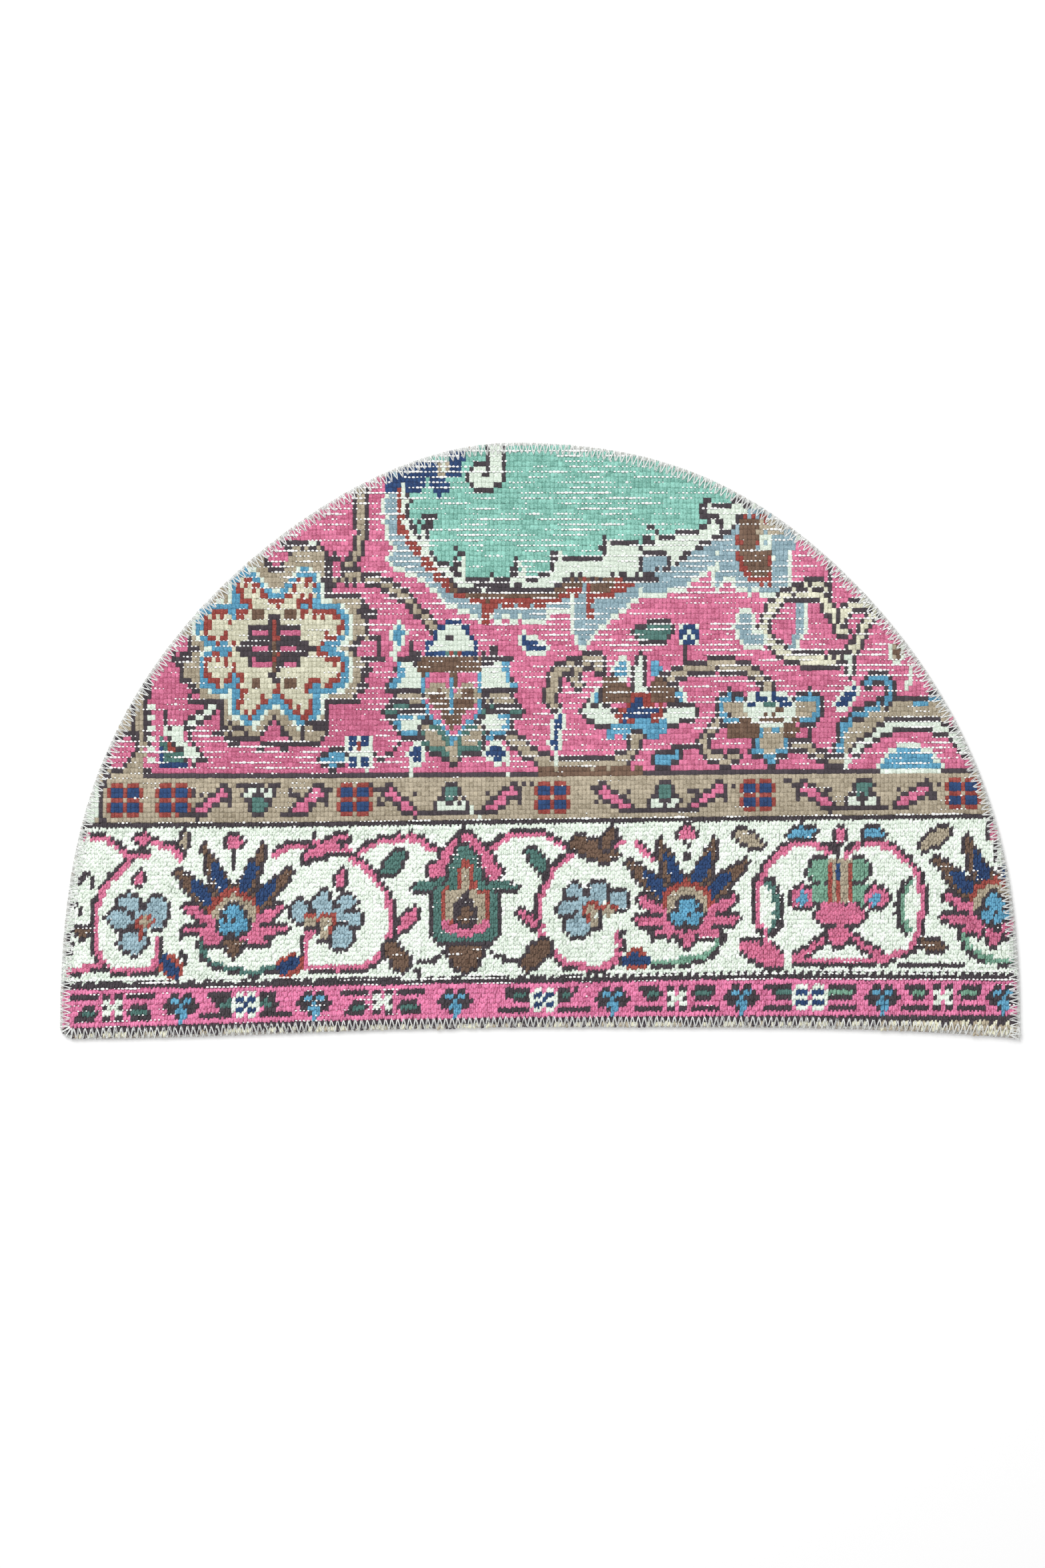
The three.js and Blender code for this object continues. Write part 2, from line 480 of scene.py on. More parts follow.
# %% Petals
ROW, COLUMN = np.indices(X.shape)
ROSETTE = (-220, 77)  # its middle
rosette = Place(*ROSETTE)
PETALS = ((-18, 48), (19, 48), (-47, 18), (-47, -18), (-18, -44), (18, -47), (43, -18), (43, 18))


def petals(radius, notch):
    """Eight discs about a square middle, with a notch cut in where two of a pair meet."""
    mask = rosette.box(-21, 21, -26 - radius, 26 + radius)
    mask |= rosette.box(-24 - radius, 24 + radius, -20, 20)
    mask |= rosette.box(-18 - radius, 18 + radius, -20 - radius, 20 + radius)
    for u, v in PETALS:
        mask |= rosette.oval(u, v, radius)
    across, along = np.abs(rosette.u), np.abs(rosette.v)
    mask &= (across > along - notch) | (along < notch)
    return mask & ((along > 0.6 * (across - notch - 8)) | (across < notch))


halo = petals(31, 64) | rug.box(-205, -180, 140, 160) | rug.box(-182, -150, 108, 118)
halo |= rug.box(-185, -155, 33, 45) | rug.box(-265, -240, 5, 20)
paint(halo, "camel", edge="dark")
paint(petals(22, 48), "cream")
paint(petals(19.5, 45), "sky")
inner = petals(14, 38)
paint(inner, "oat")
# The teeth: most knots on the inner edge, and fewer of those behind them
paint(inner & grow(~inner) & ((3 * ROW + 2 * COLUMN) % 5 < 4), "brick")
paint(inner & grow(grow(~inner)) & ((ROW + 2 * COLUMN) % 5 < 2), "brick")
tell("petals", "camel", "sky", "oat", "brick")

# %% The cross in its middle
cross = rosette.box(-23, 20, -17, 20) | rosette.line(7, (-1, 25), (-1, -27))
cross |= rosette.shape((-34, 0), (-27, 7), (25, 7), (33, 0), (25, -7), (-27, -7))
paint(cross, "dark")
for u, v in ((-12, 12), (12, 12), (-13, -1), (12, -1), (-12, -13), (12, -13)):
    paint(rosette.box(u - 7, u + 7, v - 2.5, v + 3), "rose")
paint(rosette.shape((-6, 0), (-1, 28), (4, 0), (-1, -26)), "dark")
paint(rosette.line(4.5, (-1, 20), (-1, -20)), "brick")
paint(rosette.line(4, (-1, 4), (-1, -4)) | rosette.line(4, (-1, -14), (-1, -20)), "brown")
neat = Place(*ROSETTE, slip=(0, 0))
for u, v in ((-14, 29), (13, 29), (-16, -31), (12, -30)):
    paint(neat.box(u - 4.5, u + 4.5, v - 4.5, v + 4.5), "brown")
tell("cross", "dark", "brown")

# %% [markdown]
# ## Vines and hooks by the rosette
# Every vine is one stroke: camel, with a dark knot on either side. The angular hooks about the halo
# follow the squared paper, so they are boxes and straight strokes.

# %% Vines and hooks above the rosette


def vine(*points, width=4.5, dye="camel"):
    """A stroke with a dark knot on either side."""
    paint(rug.line(width, *points), dye, edge="dark")


vine((-150, 230), (-149, 200), (-149, 172), (-152, 156), (-162, 142))
vine((-176, 136), (-150, 136), (-134, 132), (-118, 124), (-104, 112), (-96, 102), (-86, 92))
paint(rug.box(-176, -150, 123, 131), "rose")
paint(rug.box(-178, -150, 118, 123) | rug.box(-176, -150, 129, 132), "dark")
paint(rug.box(-178, -173, 118, 150), "dark")
paint(rug.box(-178, -165, 149, 155), "dark")
paint(rug.box(-172, -166, 136, 150), "rose")
for u, v in ((-210, 163), (-190, 163)):
    paint(rug.oval(u, v, 8, 4), "dark")
paint(rug.oval(-189, 163, 2.5), "cream")
paint(rug.shape((-236, 156), (-220, 141), (-210, 152), (-216, 162)), "rose")
paint(rug.line(4, (-228, 149), (-220, 141), (-212, 148)), "dark")
tell("above the rosette", "camel", "dark")

# %% Hooks right of the rosette and under it
paint(rug.box(-150, -134, 100, 112), "dark")
paint(rug.box(-158, -150, 100, 112), "camel")
paint(rug.shape((-160, 76), (-148, 88), (-132, 88), (-132, 66), (-148, 66)), "dark")
paint(rug.oval(-144, 76, 9, 6.5), "rose")
paint(rug.box(-152, -140, 86, 90) | rug.box(-156, -148, 56, 66), "camel")
paint(rug.box(-150, -137, 56, 63) | rug.box(-150, -144, 38, 55), "dark")
paint(rug.box(-180, -150, 29, 33.5) | rug.box(-180, -175, 4, 33), "dark")
paint(rug.box(-175, -150, 4, 29), "rose")
paint(rug.box(-196, -180, 0, 12), "camel", edge="dark")
paint(rug.shape((-234, 0), (-222, 17), (-210, 0)), "rose", edge="dark")
paint(rug.box(-258, -248, 0, 10), "camel", edge="dark")
tell("right and under", "camel", "dark")

# %% Hooks left of the rosette
ground = rug.shape((-400, 86), (-292, 86), (-300, 62), (-290, 40), (-262, 30), (-266, 4), (-400, 4))
paint(ground & (X < -264), "rose")
for points in (
    ((-304, 70), (-296, 52), (-290, 45)),
    ((-290, 40), (-290, 33), (-264, 33), (-264, 8)),
    ((-292, 84), (-294, 78), (-284, 77)),
):
    paint(rug.line(4, *points, smooth=False), "dark")
paint(rug.box(-298, -288, 46, 51) | rug.box(-292, -282, 40, 45) | rug.box(-300, -290, 64, 76), "dark")
paint(rug.box(-290, -283, 48, 76), "camel")
paint(rug.box(-304, -292, 72, 85), "rose")
tell("left", "rose", "dark")

# %% [markdown]
# ## The pot at the left rim
# A camel strip with a leaf runs up the rim. Beside it stands a small green pot with a pale handle, and
# small cream squares mark the strip's edge. All of it is boxes, with a few strokes.

# %% Strip and handle
paint(rug.box(-400, -329, -32, 70), "camel")
paint(rug.box(-328.5, -325, -30, 70), "dark")
paint(rug.leaf((-358, -21), (-336, 4), 15), "rose", edge="dark")
paint(rug.line(THIN, (-338, 4), (-338, 30)) | rug.line(THIN, (-344, 26), (-340, 40)), "dark")
paint(rug.line(4, (-313, 24), (-312, 12), (-303, 12), (-292, 12), smooth=False), "dark")
paint(rug.line((3, 5), (-294, 12), (-284, 18), (-272, 30)), "cream", edge="dark")
paint(rug.box(-313, -296, 3, 11), "cream")
tell("strip", "camel", "cream")

# %% Pot
paint(rug.box(-317, -295, -22, 2), "green")
paint(rug.line(4, (-292, 10), (-291, 3), (-286, -6), (-278, -18), (-296, -18), smooth=False), "dark")
paint(rug.box(-318, -312, -20, -3) | rug.box(-314, -294, -22, -18), "navy")
paint(rug.box(-309, -302, -9, 0), "brick")
paint(rug.box(-307, -304, -4, 0), "camel")
paint(rug.line((6, 9), (-304, 3), (-296, -5), (-287, -12)), "cream")
paint(rug.line(THIN, (-308, 2), (-302, -4), (-296, -12), smooth=False), "dark")
paint(rug.box(-258, -248, -5, 3) | rug.box(-235, -229, -9, 0), "dark")
paint(rug.box(-216, -210, -9, 0), "dark")
paint(rug.box(-199, -190, -6, -2) | rug.box(-190, -175, 9, 13) | rug.box(-273, -263, 2, 7), "dark")
for v in (26, 18, 9, 0, -9, -18):
    stamp(-321, v, "cc")
tell("pot", "green", "cream")

# %% [markdown]
# ## Flowers of the field
# Three big flowers stand on the rose ground: a palmette in the middle, a lily, and an iris at the right.
# Each is nearly the same left and right, so its side leaves are drawn twice, with the second half
# mirrored. The palmette comes first. Its leaves lie behind its cup, so they are painted before it.

# %% Leaves of the palmette
PALMETTE = -72.5  # where it stands along the rug
for side in (-1, 1):
    at = Place(PALMETTE, 0, side)
    wing = at.shape((24, 40), (24, 58), (36, 67), (44, 62), (46, 50), (56, 44), (44, 40))
    paint(wing, "cream", edge="dark")
    paint(at.line((3, 6), (52, 66), (34, 69)) | at.line((4, 8), (34, 80), (34, 70)), "dark")
    paint(at.line(4.5, (44, 64), (45, 52), (52, 46)), "sky")
    paint(at.line(3.5, (54, 42), (24, 42), smooth=False), "dark")
    paint(at.leaf((26, 34), (50, 32), 12), "camel", edge="dark")
    paint(at.line(4.5, (22, 26), (46, 26), (55, 23)), "green", edge="dark")
    paint(at.leaf((22, 14), (48, 13), 19), "sky", edge="dark")
    paint(at.leaf((22, 15), (44, 14), 12), "cream")
    paint(at.line(6, (40, 6), (26, 2), (20, -4)), "sky")
tell("leaves", "sky", "green")

# %% Dome and base of the palmette
at = Place(PALMETTE, 0)
paint(at.line(6, (-48, 68), (-18, 70), (18, 70), (46, 68), smooth=False), "dark")
paint(at.box(-27, 25, 54, 69), "brown")
dome = (at.oval(0, 80, 17.5, 20) | at.oval(-16, 77, 8, 7) | at.oval(15, 77, 8, 7)) & (Y > 72)
paint(dome, "navy")
paint(dome & ~grow(~dome), "cream")
paint(at.box(-7, 7, 71, 75), "brick")
paint(at.line(3.5, (-5, 71), (4, 71)), "green")
paint(at.oval(-3, 85, 2, 4), "dark")
base = at.shape((-25, 14), (-25, -6), (-10, -9), (0, -20), (10, -9), (25, -6), (25, 14))
paint(base, "green", edge="dark")
paint(at.line(8, (0, 0), (0, -14), smooth=False), "camel")
tell("dome and base", "navy", "green")

# %% Cup of the palmette
cup = at.shape((-25, 58), (25, 58), (25, 24), (0, 1), (-25, 24)) | at.line(6, (0, 10), (0, 0))
paint(cup, "sky")
paint(cup & ~grow(~cup, "above left right"), "rose")
for side in (-1, 1):
    half = Place(PALMETTE, 0, side)
    paint(half.oval(12, 38, 10, 11), "camel")
    paint(half.oval(12, 35, 7, 8), "brown")
    paint(half.shape((8, -4), (8, 2), (24, 14), (24, 2), (18, -4)), "camel")
paint(at.oval(0, 25, 10, 13), "brown")
paint(at.line((11, 5), (0, 58), (0, 44)) | at.line((6, 3), (0, 22), (0, 10)), "brown")
paint(at.line(THIN, (-1, 50), (-1, 26), smooth=False), "sky")
tell("cup", "sky", "brown")

# %% [markdown]
# ## The lily
# It is smaller and looser than the palmette: a cream spike between two leaves, a brick flower below it
# and a sky-blue cup. Only its left top leaf has a cream edge, so the edge is given for that side alone.

# %% Lily
LILY = 82
for side in (-1, 1):
    at = Place(LILY, 0, side)
    paint(at.leaf((13, 66), (18, 50), 10), "sky", edge="cream" if side < 0 else None)
    paint(at.leaf((34, 40), (32, 28), 10), "sky", edge="cream")
    paint(at.shape((6, 32), (6, 42), (16, 52), (29, 54), (29, 33)), "brown")
    paint(at.line(THIN, (14, 54), (30, 54), (31, 36), smooth=False), "dark")
    paint(at.leaf((16, 18), (48, 26), 12), "cream", edge="dark")
at = Place(LILY, 0)
paint(at.line((3, 11), (1, 70), (1, 40)), "cream", edge="dark")
flower = at.shape((-18, 14), (-18, 26), (-8, 30), (-7, 39), (8, 39), (9, 31), (21, 29), (19, 18), (0, 14))
paint(flower, "brick")
paint(at.box(-14, 3, 17, 25) | at.box(-5, 5, 20, 35) | at.box(4, 16, 21, 28), "navy")
paint(at.shape((-28, 4), (-24, 12), (-4, 16), (0, 20), (10, 16), (24, 16), (22, 4), (4, 2)), "sky")
tell("lily", "sky", "brick", "navy")

# %% [markdown]
# ## Vines between the flowers
# They are the same strokes as those by the rosette, some wider. They come after the flowers, because a
# vine runs over the foot of one.

# %% Vines under and beside the lily
vine((-25, 2), (-12, -6), (2, -17), (20, -20), (48, -20), (66, -16), (78, -6), (80, 4), width=7)
paint(rug.line(6, (0, -26), (84, -25)), "brown")
paint(rug.line(THIN, (12, -14), (12, -24)), "cream")
paint(rug.line(THIN, (100, -9), (112, -6), (134, -3)), "dark")
paint(rug.line(THIN, (-140, -13), (-128, -13), (-112, 1), (-100, 3)), "dark")
vine((10, 30), (10, 46), (16, 58), (30, 63), (46, 68), (50, 62), width=7)
vine((32, 60), (28, 52), (34, 46), width=4)
vine((108, 50), (118, 57), (140, 62), (162, 62), (180, 54), (190, 44), width=5)
paint(rug.line(4, (122, 78), (121, 68)), "dark")
tell("vines", "camel", "dark")

# %% [markdown]
# ## The iris
# It looks like a small vase: two sky-blue handles with camel in them, cream shoulders, and a foot that
# ends in a point. The parts that aren't the same on both sides follow the mirrored ones.

# %% Iris, the mirrored parts
for side in (-1, 1):
    half = Place(191, 0, side)
    paint(half.line(5.5, (24, 34), (32, 37), (39, 32), (39, 22), (33, 17), (23, 20)), "sky", edge="dark")
    paint(half.shape((18, 21), (18, 31), (26, 34), (38, 32), (38, 22), (26, 20)), "camel")
    paint(half.shape((0, 16), (0, 42), (14, 42), (22, 30), (18, 16)), "cream")
    paint(half.shape((2, 30), (2, 39), (11, 39), (18, 30)), "navy")
tell("handles and shoulders", "sky", "cream")

# %% Iris, its middle and foot
paint(rug.shape((155, 3), (155, 14), (166, 18), (214, 18), (215, 0), (202, 0), (203, 3)), "brown")
paint(rug.box(172, 189, 22, 25) | rug.box(197, 207, 22, 27) | rug.box(186, 196, 18, 22), "brown")
paint(rug.box(186, 196, 26, 33), "green")
paint(rug.box(179, 183, 14, 22) | rug.box(201, 207, 14, 23), "cream")
paint(rug.box(181, 203, 9, 14), "cream")
tip = rug.shape((178, 1), (178, -8), (185, -13), (191, -21), (197, -13), (207, -8), (207, 3))
paint(tip, "sky", edge="dark", sides="below left right")
paint(rug.shape((183, -7), (183, 12), (202, 12), (203, -2), (196, -9), (188, -9)), "camel")
paint(rug.box(181, 187, 6, 11) | rug.box(193, 200, 6, 11), "sky")
paint(rug.line(THIN, (217, 0), (224, 5), (225, 12), (219, 16)), "dark")
tell("iris", "brown", "sky")

# %% [markdown]
# ## The cloud at the right
# A brick and brown cloud of straight steps stands beside the medallion. It is a shape with its corners
# given one by one, and smaller shapes on it.

# %% Cloud
paint(rug.box(191, 212, 160, 171) | rug.box(189, 206, 128, 160), "mist")
CLOUD_TOP = ((160, 166), (167, 176), (168, 187), (200, 187), (200, 182), (184, 178), (181, 160))
CLOUD_FOOT = ((192, 160), (192, 130), (179, 131), (166, 141), (163, 150), (165, 160))
paint(rug.shape(*CLOUD_TOP, *CLOUD_FOOT), "brick")
inside_cloud = ((167, 150), (167, 184), (181, 184), (181, 160), (191, 158), (191, 139), (177, 137))
paint(rug.shape(*inside_cloud), "brown")
paint(rug.box(183, 192, 158, 172) | rug.box(192, 194, 130, 158), "cream")
paint(rug.box(186, 190, 162, 168), "mist")
paint(rug.box(181, 207, 173, 182), "camel")
tell("cloud", "brick", "brown", "mist")

# %% [markdown]
# ## The loop of pale vines
# Four undyed vines, wider than the camel ones, make a loop that is open at the rim.

# %% Pale vines
LONG_VINE = ((239, 128), (222, 128), (206, 121), (194, 112), (187, 98))
LONG_VINE += ((191, 84), (204, 72), (222, 67), (250, 68))
for points in (
    LONG_VINE,
    ((216, 121), (232, 121), (240, 110), (246, 102), (250, 92)),
    ((250, 69), (261, 77), (267, 88), (271, 99), (277, 106)),
    ((250, 98), (255, 107), (263, 113), (274, 115)),
):
    vine(*points, width=6, dye="oat")
paint(rug.line(4, (241, 142), (241, 122)), "dark")
inner = rug.shape((211, 117), (212, 90), (208, 78), (212, 78), (219, 90), (220, 113))
paint(inner, "mist", edge="cream", sides="right")
paint(rug.line((3, 5), (256, 58), (257, 70)), "cream", edge="dark")
tell("loop", "oat", "mist")

# %% [markdown]
# ## The big leaf
# It curls from the guard up to the rim: camel, with a sky-blue line over it and a cream rib under it. A
# half moon and a few short vines fill the place below.

# %% Big leaf
paint(rug.line(5, (249, -12), (251, 6), (258, 17), (272, 25), (288, 31)), "sky", edge="dark")
paint(rug.line(4, (294, 33), (310, 35), (332, 39)), "dark")
LEAF_OVER = ((251, -12), (253, 4), (262, 15), (278, 24), (292, 32), (340, 32))
LEAF_UNDER = ((340, 17), (300, 17), (288, 13), (276, 8), (264, 1), (260, -8), (261, -12))
paint(rug.shape(*LEAF_OVER, *LEAF_UNDER), "camel")
paint(rug.line(5, (312, 31), (334, 35)), "sky")
vine((262, -9), (272, 0), (284, 8), (296, 13), (325, 13), (340, 7), (354, -8), width=5, dye="cream")
vine((270, 47), (279, 53), (287, 52), (291, 43), (289, 31), width=5, dye="sky")
tell("big leaf", "camel", "sky")

# %% Moon and short vines
moon = rug.shape((283, -26), (287, -14), (300, -6), (314, -6), (328, -14), (336, -26))
paint(moon & (LEVEL > FIELD_LINE + 1), "sky", edge="cream")
vine((148, 15), (138, 5), (137, -5), (144, -14), (156, -16), (164, -14), width=5)
vine((212, -3), (222, -5), (232, -12), (242, -16), (252, -16), width=5)
paint(rug.box(237, 249, -14, -10) | rug.box(235, 257, -24, -20), "dark")
paint(rug.line(5, (256, -10), (256, -20)), "cream")
tell("moon and vines", "sky", "cream")

# %% [markdown]
# ## Leaves and squares scattered on the field
# Small leaves fill what is left of the rose ground, and what is at most five knots wide is stamped.

# %% Scattered leaves
for tail, tip, width, dye, edge in (
    ((-118, 97), (-117, 80), 8, "sky", "cream"),
    ((-18, 84), (4, 74), 9, "navy", "cream"),
    ((80, 88), (110, 92), 13, "green", "dark"),
    ((261, 44), (248, 26), 9, "navy", "cream"),
    ((-184, -17), (-162, -14), 10, "sky", "dark"),
    ((-104, -18), (-100, -6), 11, "navy", "cream"),
    ((-46, -11), (-28, -11), 10, "navy", "cream"),
    ((95, -19), (116, -11), 10, "sky", "dark"),
):
    paint(rug.leaf(tail, tip, width), dye, edge=edge)
tell("leaves", "navy", "sky")

# %% Scattered squares and strokes
paint(rug.line((6, 4), (15, 18), (12, -6)), "navy", edge="cream")
paint(rug.line(4, (-121, 68), (-120, 80)), "cream")
paint(rug.box(165, 175, 86, 106) | rug.box(169, 185, 80, 88), "mist", edge="cream")
stamp(124, 88, "cnnnc", "nncnn", "ncncn", "cnnnc")
stamp(297, 69, "ckoc", "cook", "ckoc", ".cc.")
paint(rug.line(THIN, (309, 60), (305, 42), smooth=False), "cream")
paint(rug.line(THIN, (-107, -20), (-108, -28)), "cream")
paint(rug.line(THIN, (-27, -14), (-26, -28)), "cream")
paint(rug.box(-161, -139, -24, 5), "cream")
bars = rug.box(-159.5, -153, -22, 3) | rug.box(-148.5, -142, -22, 3)
paint(bars & ~rug.box(-161, -139, -12, -7), "navy")
stamp(-151, -9, "b", "b")
tell("squares", "navy", "cream")

# %% [markdown]
# ## The guard
# The narrow camel stripe repeats three small things along its length: blocks of four navy squares edged
# in brick, rose leaves that lean one way or the other, and blossoms of a cream bar and a green square.
# Each is a function or a small chart. Leaves and blossoms are placed by their level, so they bend with
# the stripe.

# %% Its leaf and its blossom
GUARD = -47.5  # level of its middle


def guard_leaf(x, side):
    """A leaf with a short twig at each end, mirrored with side -1."""
    at = Place(x, GUARD, side, heights=LEVEL)
    paint(at.line((5, 7), (-12, -9), (-3, -3), (9, 6)), "rose", edge="dark")
    paint(at.line(THIN, (9, 9), (24, 10)) | at.line(THIN, (-24, -12), (-13, -12)), "dark")
    paint(at.line(THIN, (14, 4), (15, -5)) | at.line(THIN, (-16, 6), (-8, 1)), "dark")


def guard_blossom(x, way):
    """A cream bar over a green square, upside down with way -1."""
    at = Place(x, GUARD, 1, way, heights=LEVEL)
    paint(at.box(-11, 11, 3, 9), "cream", edge="dark")
    paint(at.box(-5.5, 5.5, -9, 1), "green", edge="dark")
    paint(at.line(THIN, (-18, 11), (-8, 12)) | at.line(THIN, (8, 12), (18, 11)), "dark")
    paint(at.box(-1, 1, 3, 9), "dark")


print("guard:", int((np.abs(LEVEL[:, 0] - GUARD) < 18).sum()), "rows")

# %% Guard stripe
GUARD_SAG = (-2.4, -2, 0, 2.4, 3.8)  # how far its middle lies above that level at the five stations
SQUARES = (".bbb.bbb.", "bnnnbnnnb", "bnnnbnnnb", ".bbb.bbb.", "bnnnbnnnb", "bnnnbnnnb", ".bbb.bbb.")
for x in (-346, -306, -155, 11, 182, 352):
    stamp(x, GUARD + float(np.interp(x, STATIONS, GUARD_SAG)), *SQUARES)
for x, side in ((-272, 1), (-192, 1), (-118, -1), (-31, 1), (60, -1), (139, 1), (229, -1), (311, 1)):
    guard_leaf(x, side)
for x, way in ((-234, 1), (-74, -1), (103, -1), (269, -1)):
    guard_blossom(x, way)
paint(rug.box(-420, -364, -66, -34), "cream")
paint(rug.line(4.2, (-364.8, -70), (-364.8, -44), (-361.5, -32), (-360, -22)), "dark")
paint(rug.line(THIN, (-58, -54), (-56, -60), (-49, -64)), "cream")
tell("guard stripe", "navy", "rose", "green")

# %% [markdown]
# ## The main border
# On the cream ground run lotus flowers, grey-blue round ones, a bell flower and a wide one, joined by
# rose scrolls. A scroll is about one knot of rose with a dark line along its outer side only. That line
# is the same curve moved aside, so each scroll is given once.

# %% Scrolls


def scroll(*points, side=1):
    """A rose line with a dark one on its left, or with side -1 on its right."""
    paint(rug.line(3.6, *aside(points, 3.4 * side), smooth=False), "dark")
    paint(rug.line(4.2, *points), "rose")


scroll((-384, -80), (-366, -80), (-348, -91), (-341, -101))
scroll((-341, -101), (-356, -115), (-364, -128), (-368, -142), (-368, -172), (-363, -183), side=-1)
scroll((-363, -183), (-352, -190), (-326, -190), (-319, -182), (-319, -163), side=-1)
scroll((-363, -183), (-370, -187), (-392, -192))
scroll((-337, -97), (-325, -95))
scroll((-330, -81), (-318, -85), (-306, -89), (-299, -97))
scroll((-221, -96), (-213, -90), (-204, -88), (-190, -88))
scroll((-192, -157), (-194, -170), (-194, -187), side=-1)
scroll((-192, -188), (-152, -188), (-137, -181), (-128, -171), (-125, -160), (-125, -136), side=-1)
scroll((-125, -136), (-130, -124), (-138, -114), (-146, -104), (-158, -97), side=-1)
scroll((-150, -92), (-140, -87), (-128, -82), (-103, -81), (-96, -86), (-87, -91))
scroll((-46, -91), (-36, -87), (-26, -79), (-4, -77), (10, -82), (21, -88))
scroll((25, -95), (15, -104), (8, -115), (2, -128), (0, -140), (2, -160), (8, -170), side=-1)
scroll((8, -170), (15, -178), (25, -185), (50, -187), (60, -184), (65, -177), (65, -158), side=-1)
scroll((81, -85), (85, -91), (96, -99))
scroll((62, -87), (70, -83))
paint(rug.line(4, (-192, -158), (-182, -158)), "rose", edge="dark", sides="above")
tell("scrolls", "rose", "dark")

# %% [markdown]
# ## The lotus
# It comes three times and differs only in the dye of its tip, so it is a function of its place. Its
# leaves are mirrored, and each has its dark line on the side that faces outwards.

# %% Lotus


def lotus(x, y, tip_dye):
    """A lotus about a place, with its tip in a dye of its own."""
    at = Place(x, y)
    paint(at.line(THIN, (0, 43), (0, 60)), "dark")
    paint(at.oval(0, 66, 6, 6.5), "rose", edge="dark", sides="above left right")
    for side, outer in ((-1, " left"), (1, " right")):
        half = Place(x, y, side)
        paint(half.line((19, 3), (7, 20), (24, 62)), "brown", edge="dark", sides="above" + outer)
        paint(half.line((21, 3), (14, 10), (49, 43)), "brown", edge="dark", sides="above" + outer)
        paint(half.leaf((5, 20), (18, 50), 10), "navy")
        paint(half.leaf((13, 9), (36, 34), 11), "navy")
        paint(half.leaf((8, -7), (42, 14), 9), "rose", edge="dark", sides="above" + outer)
        paint(half.leaf((10, -9), (45, -5), 7), "rose", edge="dark", sides="above below" + outer)
        paint(half.leaf((-4, -13), (27, -16), 9), "rose", edge="dark", sides="below" + outer)
        paint(half.leaf((-4, -9), (24, -6), 13), "rose")
    paint(at.line(6, (-19, 8), (-14, 18), (0, 25), (14, 18), (19, 8)), "brick")
    paint(at.line(6, (-15, 3), (-12, 13), (0, 19), (12, 13), (15, 3)), "camel")
    paint(at.oval(0, 3, 8, 11) | at.oval(0, -2, 12, 9), "sky", edge="dark")
    paint(at.oval(-8, 3, 2.2) | at.oval(8, 3, 2.2) | at.oval(1, -1, 2.4) | at.oval(-2, -9, 2.4), "dark")
    tip = at.shape((-8, -16), (8, -16), (4, -26), (-1, -30))
    paint(tip, tip_dye, edge="dark", sides="left right below")


lotus(-254.3, -150, "brown")
lotus(122.5, -143, "rose")
lotus(378, -141, "rose")
tell("lotus flowers", "brown", "navy", "rose")

# %% [markdown]
# ## The grey-blue round flowers
# Five oval petals lie round a brick and camel middle. Two of these flowers are the same, one of them
# mirrored. The third, at the left, has four petals and is drawn on its own.

# %% Round flowers


def round_flower(x, y, side=1):
    """A round flower about a place, mirrored with side -1."""
    at = Place(x, y, side)
    for petal in ((-17, 16, 7), (-20, 3, 10, 6.5), (3, 17, 7.5, 8), (21, 10, 7, 8.5), (-13, -12, 9.5, 9)):
        paint(at.oval(*petal), "mist", edge="dark")
    paint(at.oval(-9, 6, 8, 7) | at.oval(3, 9, 6, 6), "mist")
    paint(at.oval(-2, 3, 8, 6) | at.oval(12, 3, 7, 5) | at.line(4, (-4, 2), (-4, -9)), "brick")
    paint(at.oval(-1, 1, 5, 4) | at.oval(12, 1, 5, 4) | at.oval(1, -8, 4.5, 4), "camel")
    paint(at.line(THIN, (5, 2), (5, -9)) | at.line(THIN, (6, -14), (-2, -14)), "dark")


round_flower(45, -142)
round_flower(-178, -151, -1)
at = Place(-328.5, -150)
for petal in ((-12, 15, 8, 7), (10, 8, 8, 13), (-20, 2, 10, 7), (-10, -17, 11, 9)):
    paint(at.oval(*petal), "mist", edge="dark")
paint(at.oval(-2, 1, 8, 9), "mist")
paint(at.oval(0, 0, 8, 6) | at.line(THIN, (-2, -4), (-3, -15)), "brick")
paint(at.oval(0, 1, 4.5, 5), "camel")
tell("round flowers", "mist", "brick")

# %% [markdown]
# ## Buds, leaves and flecks
# What fills the ground between the flowers is mostly one thing: a small leaf with a dark edge. A list of
# dyes, ends and widths draws them all. Single dark flecks are strokes.

# %% Leaves with a dark edge
EDGED = (
    ("rose", (-336, -81), (-323, -81), 8),
    ("rose", (-333, -110), (-333, -121), 8),
    ("camel", (-297, -90), (-294, -76), 4),
    ("rose", (-165, -107), (-165, -122), 8),
    ("rose", (-197, -98), (-158, -78), 10),
    ("green", (-131, -111), (-113, -92), 11),
    ("rose", (-118, -158), (-102, -139), 9),
    ("rose", (-20, -139), (-3, -154), 7),
    ("green", (-9, -90), (6, -107), 10),
    ("brown", (24, -84), (66, -96), 15),
    ("brown", (53, -90), (60, -73), 8),
    ("camel", (162, -75), (185, -87), 10),
    ("camel", (316, -88), (339, -73), 10),
    ("brown", (317, -166), (336, -173), 10),
    ("sky", (207, -80), (229, -74), 11),
    ("sky", (271, -75), (285, -80), 11),
    ("rose", (249, -71), (249, -85), 9),
)
for dye, tail, tip, width in EDGED:
    paint(rug.leaf(tail, tip, width), dye, edge="dark")
tell("edged leaves", "rose", "green", "brown")

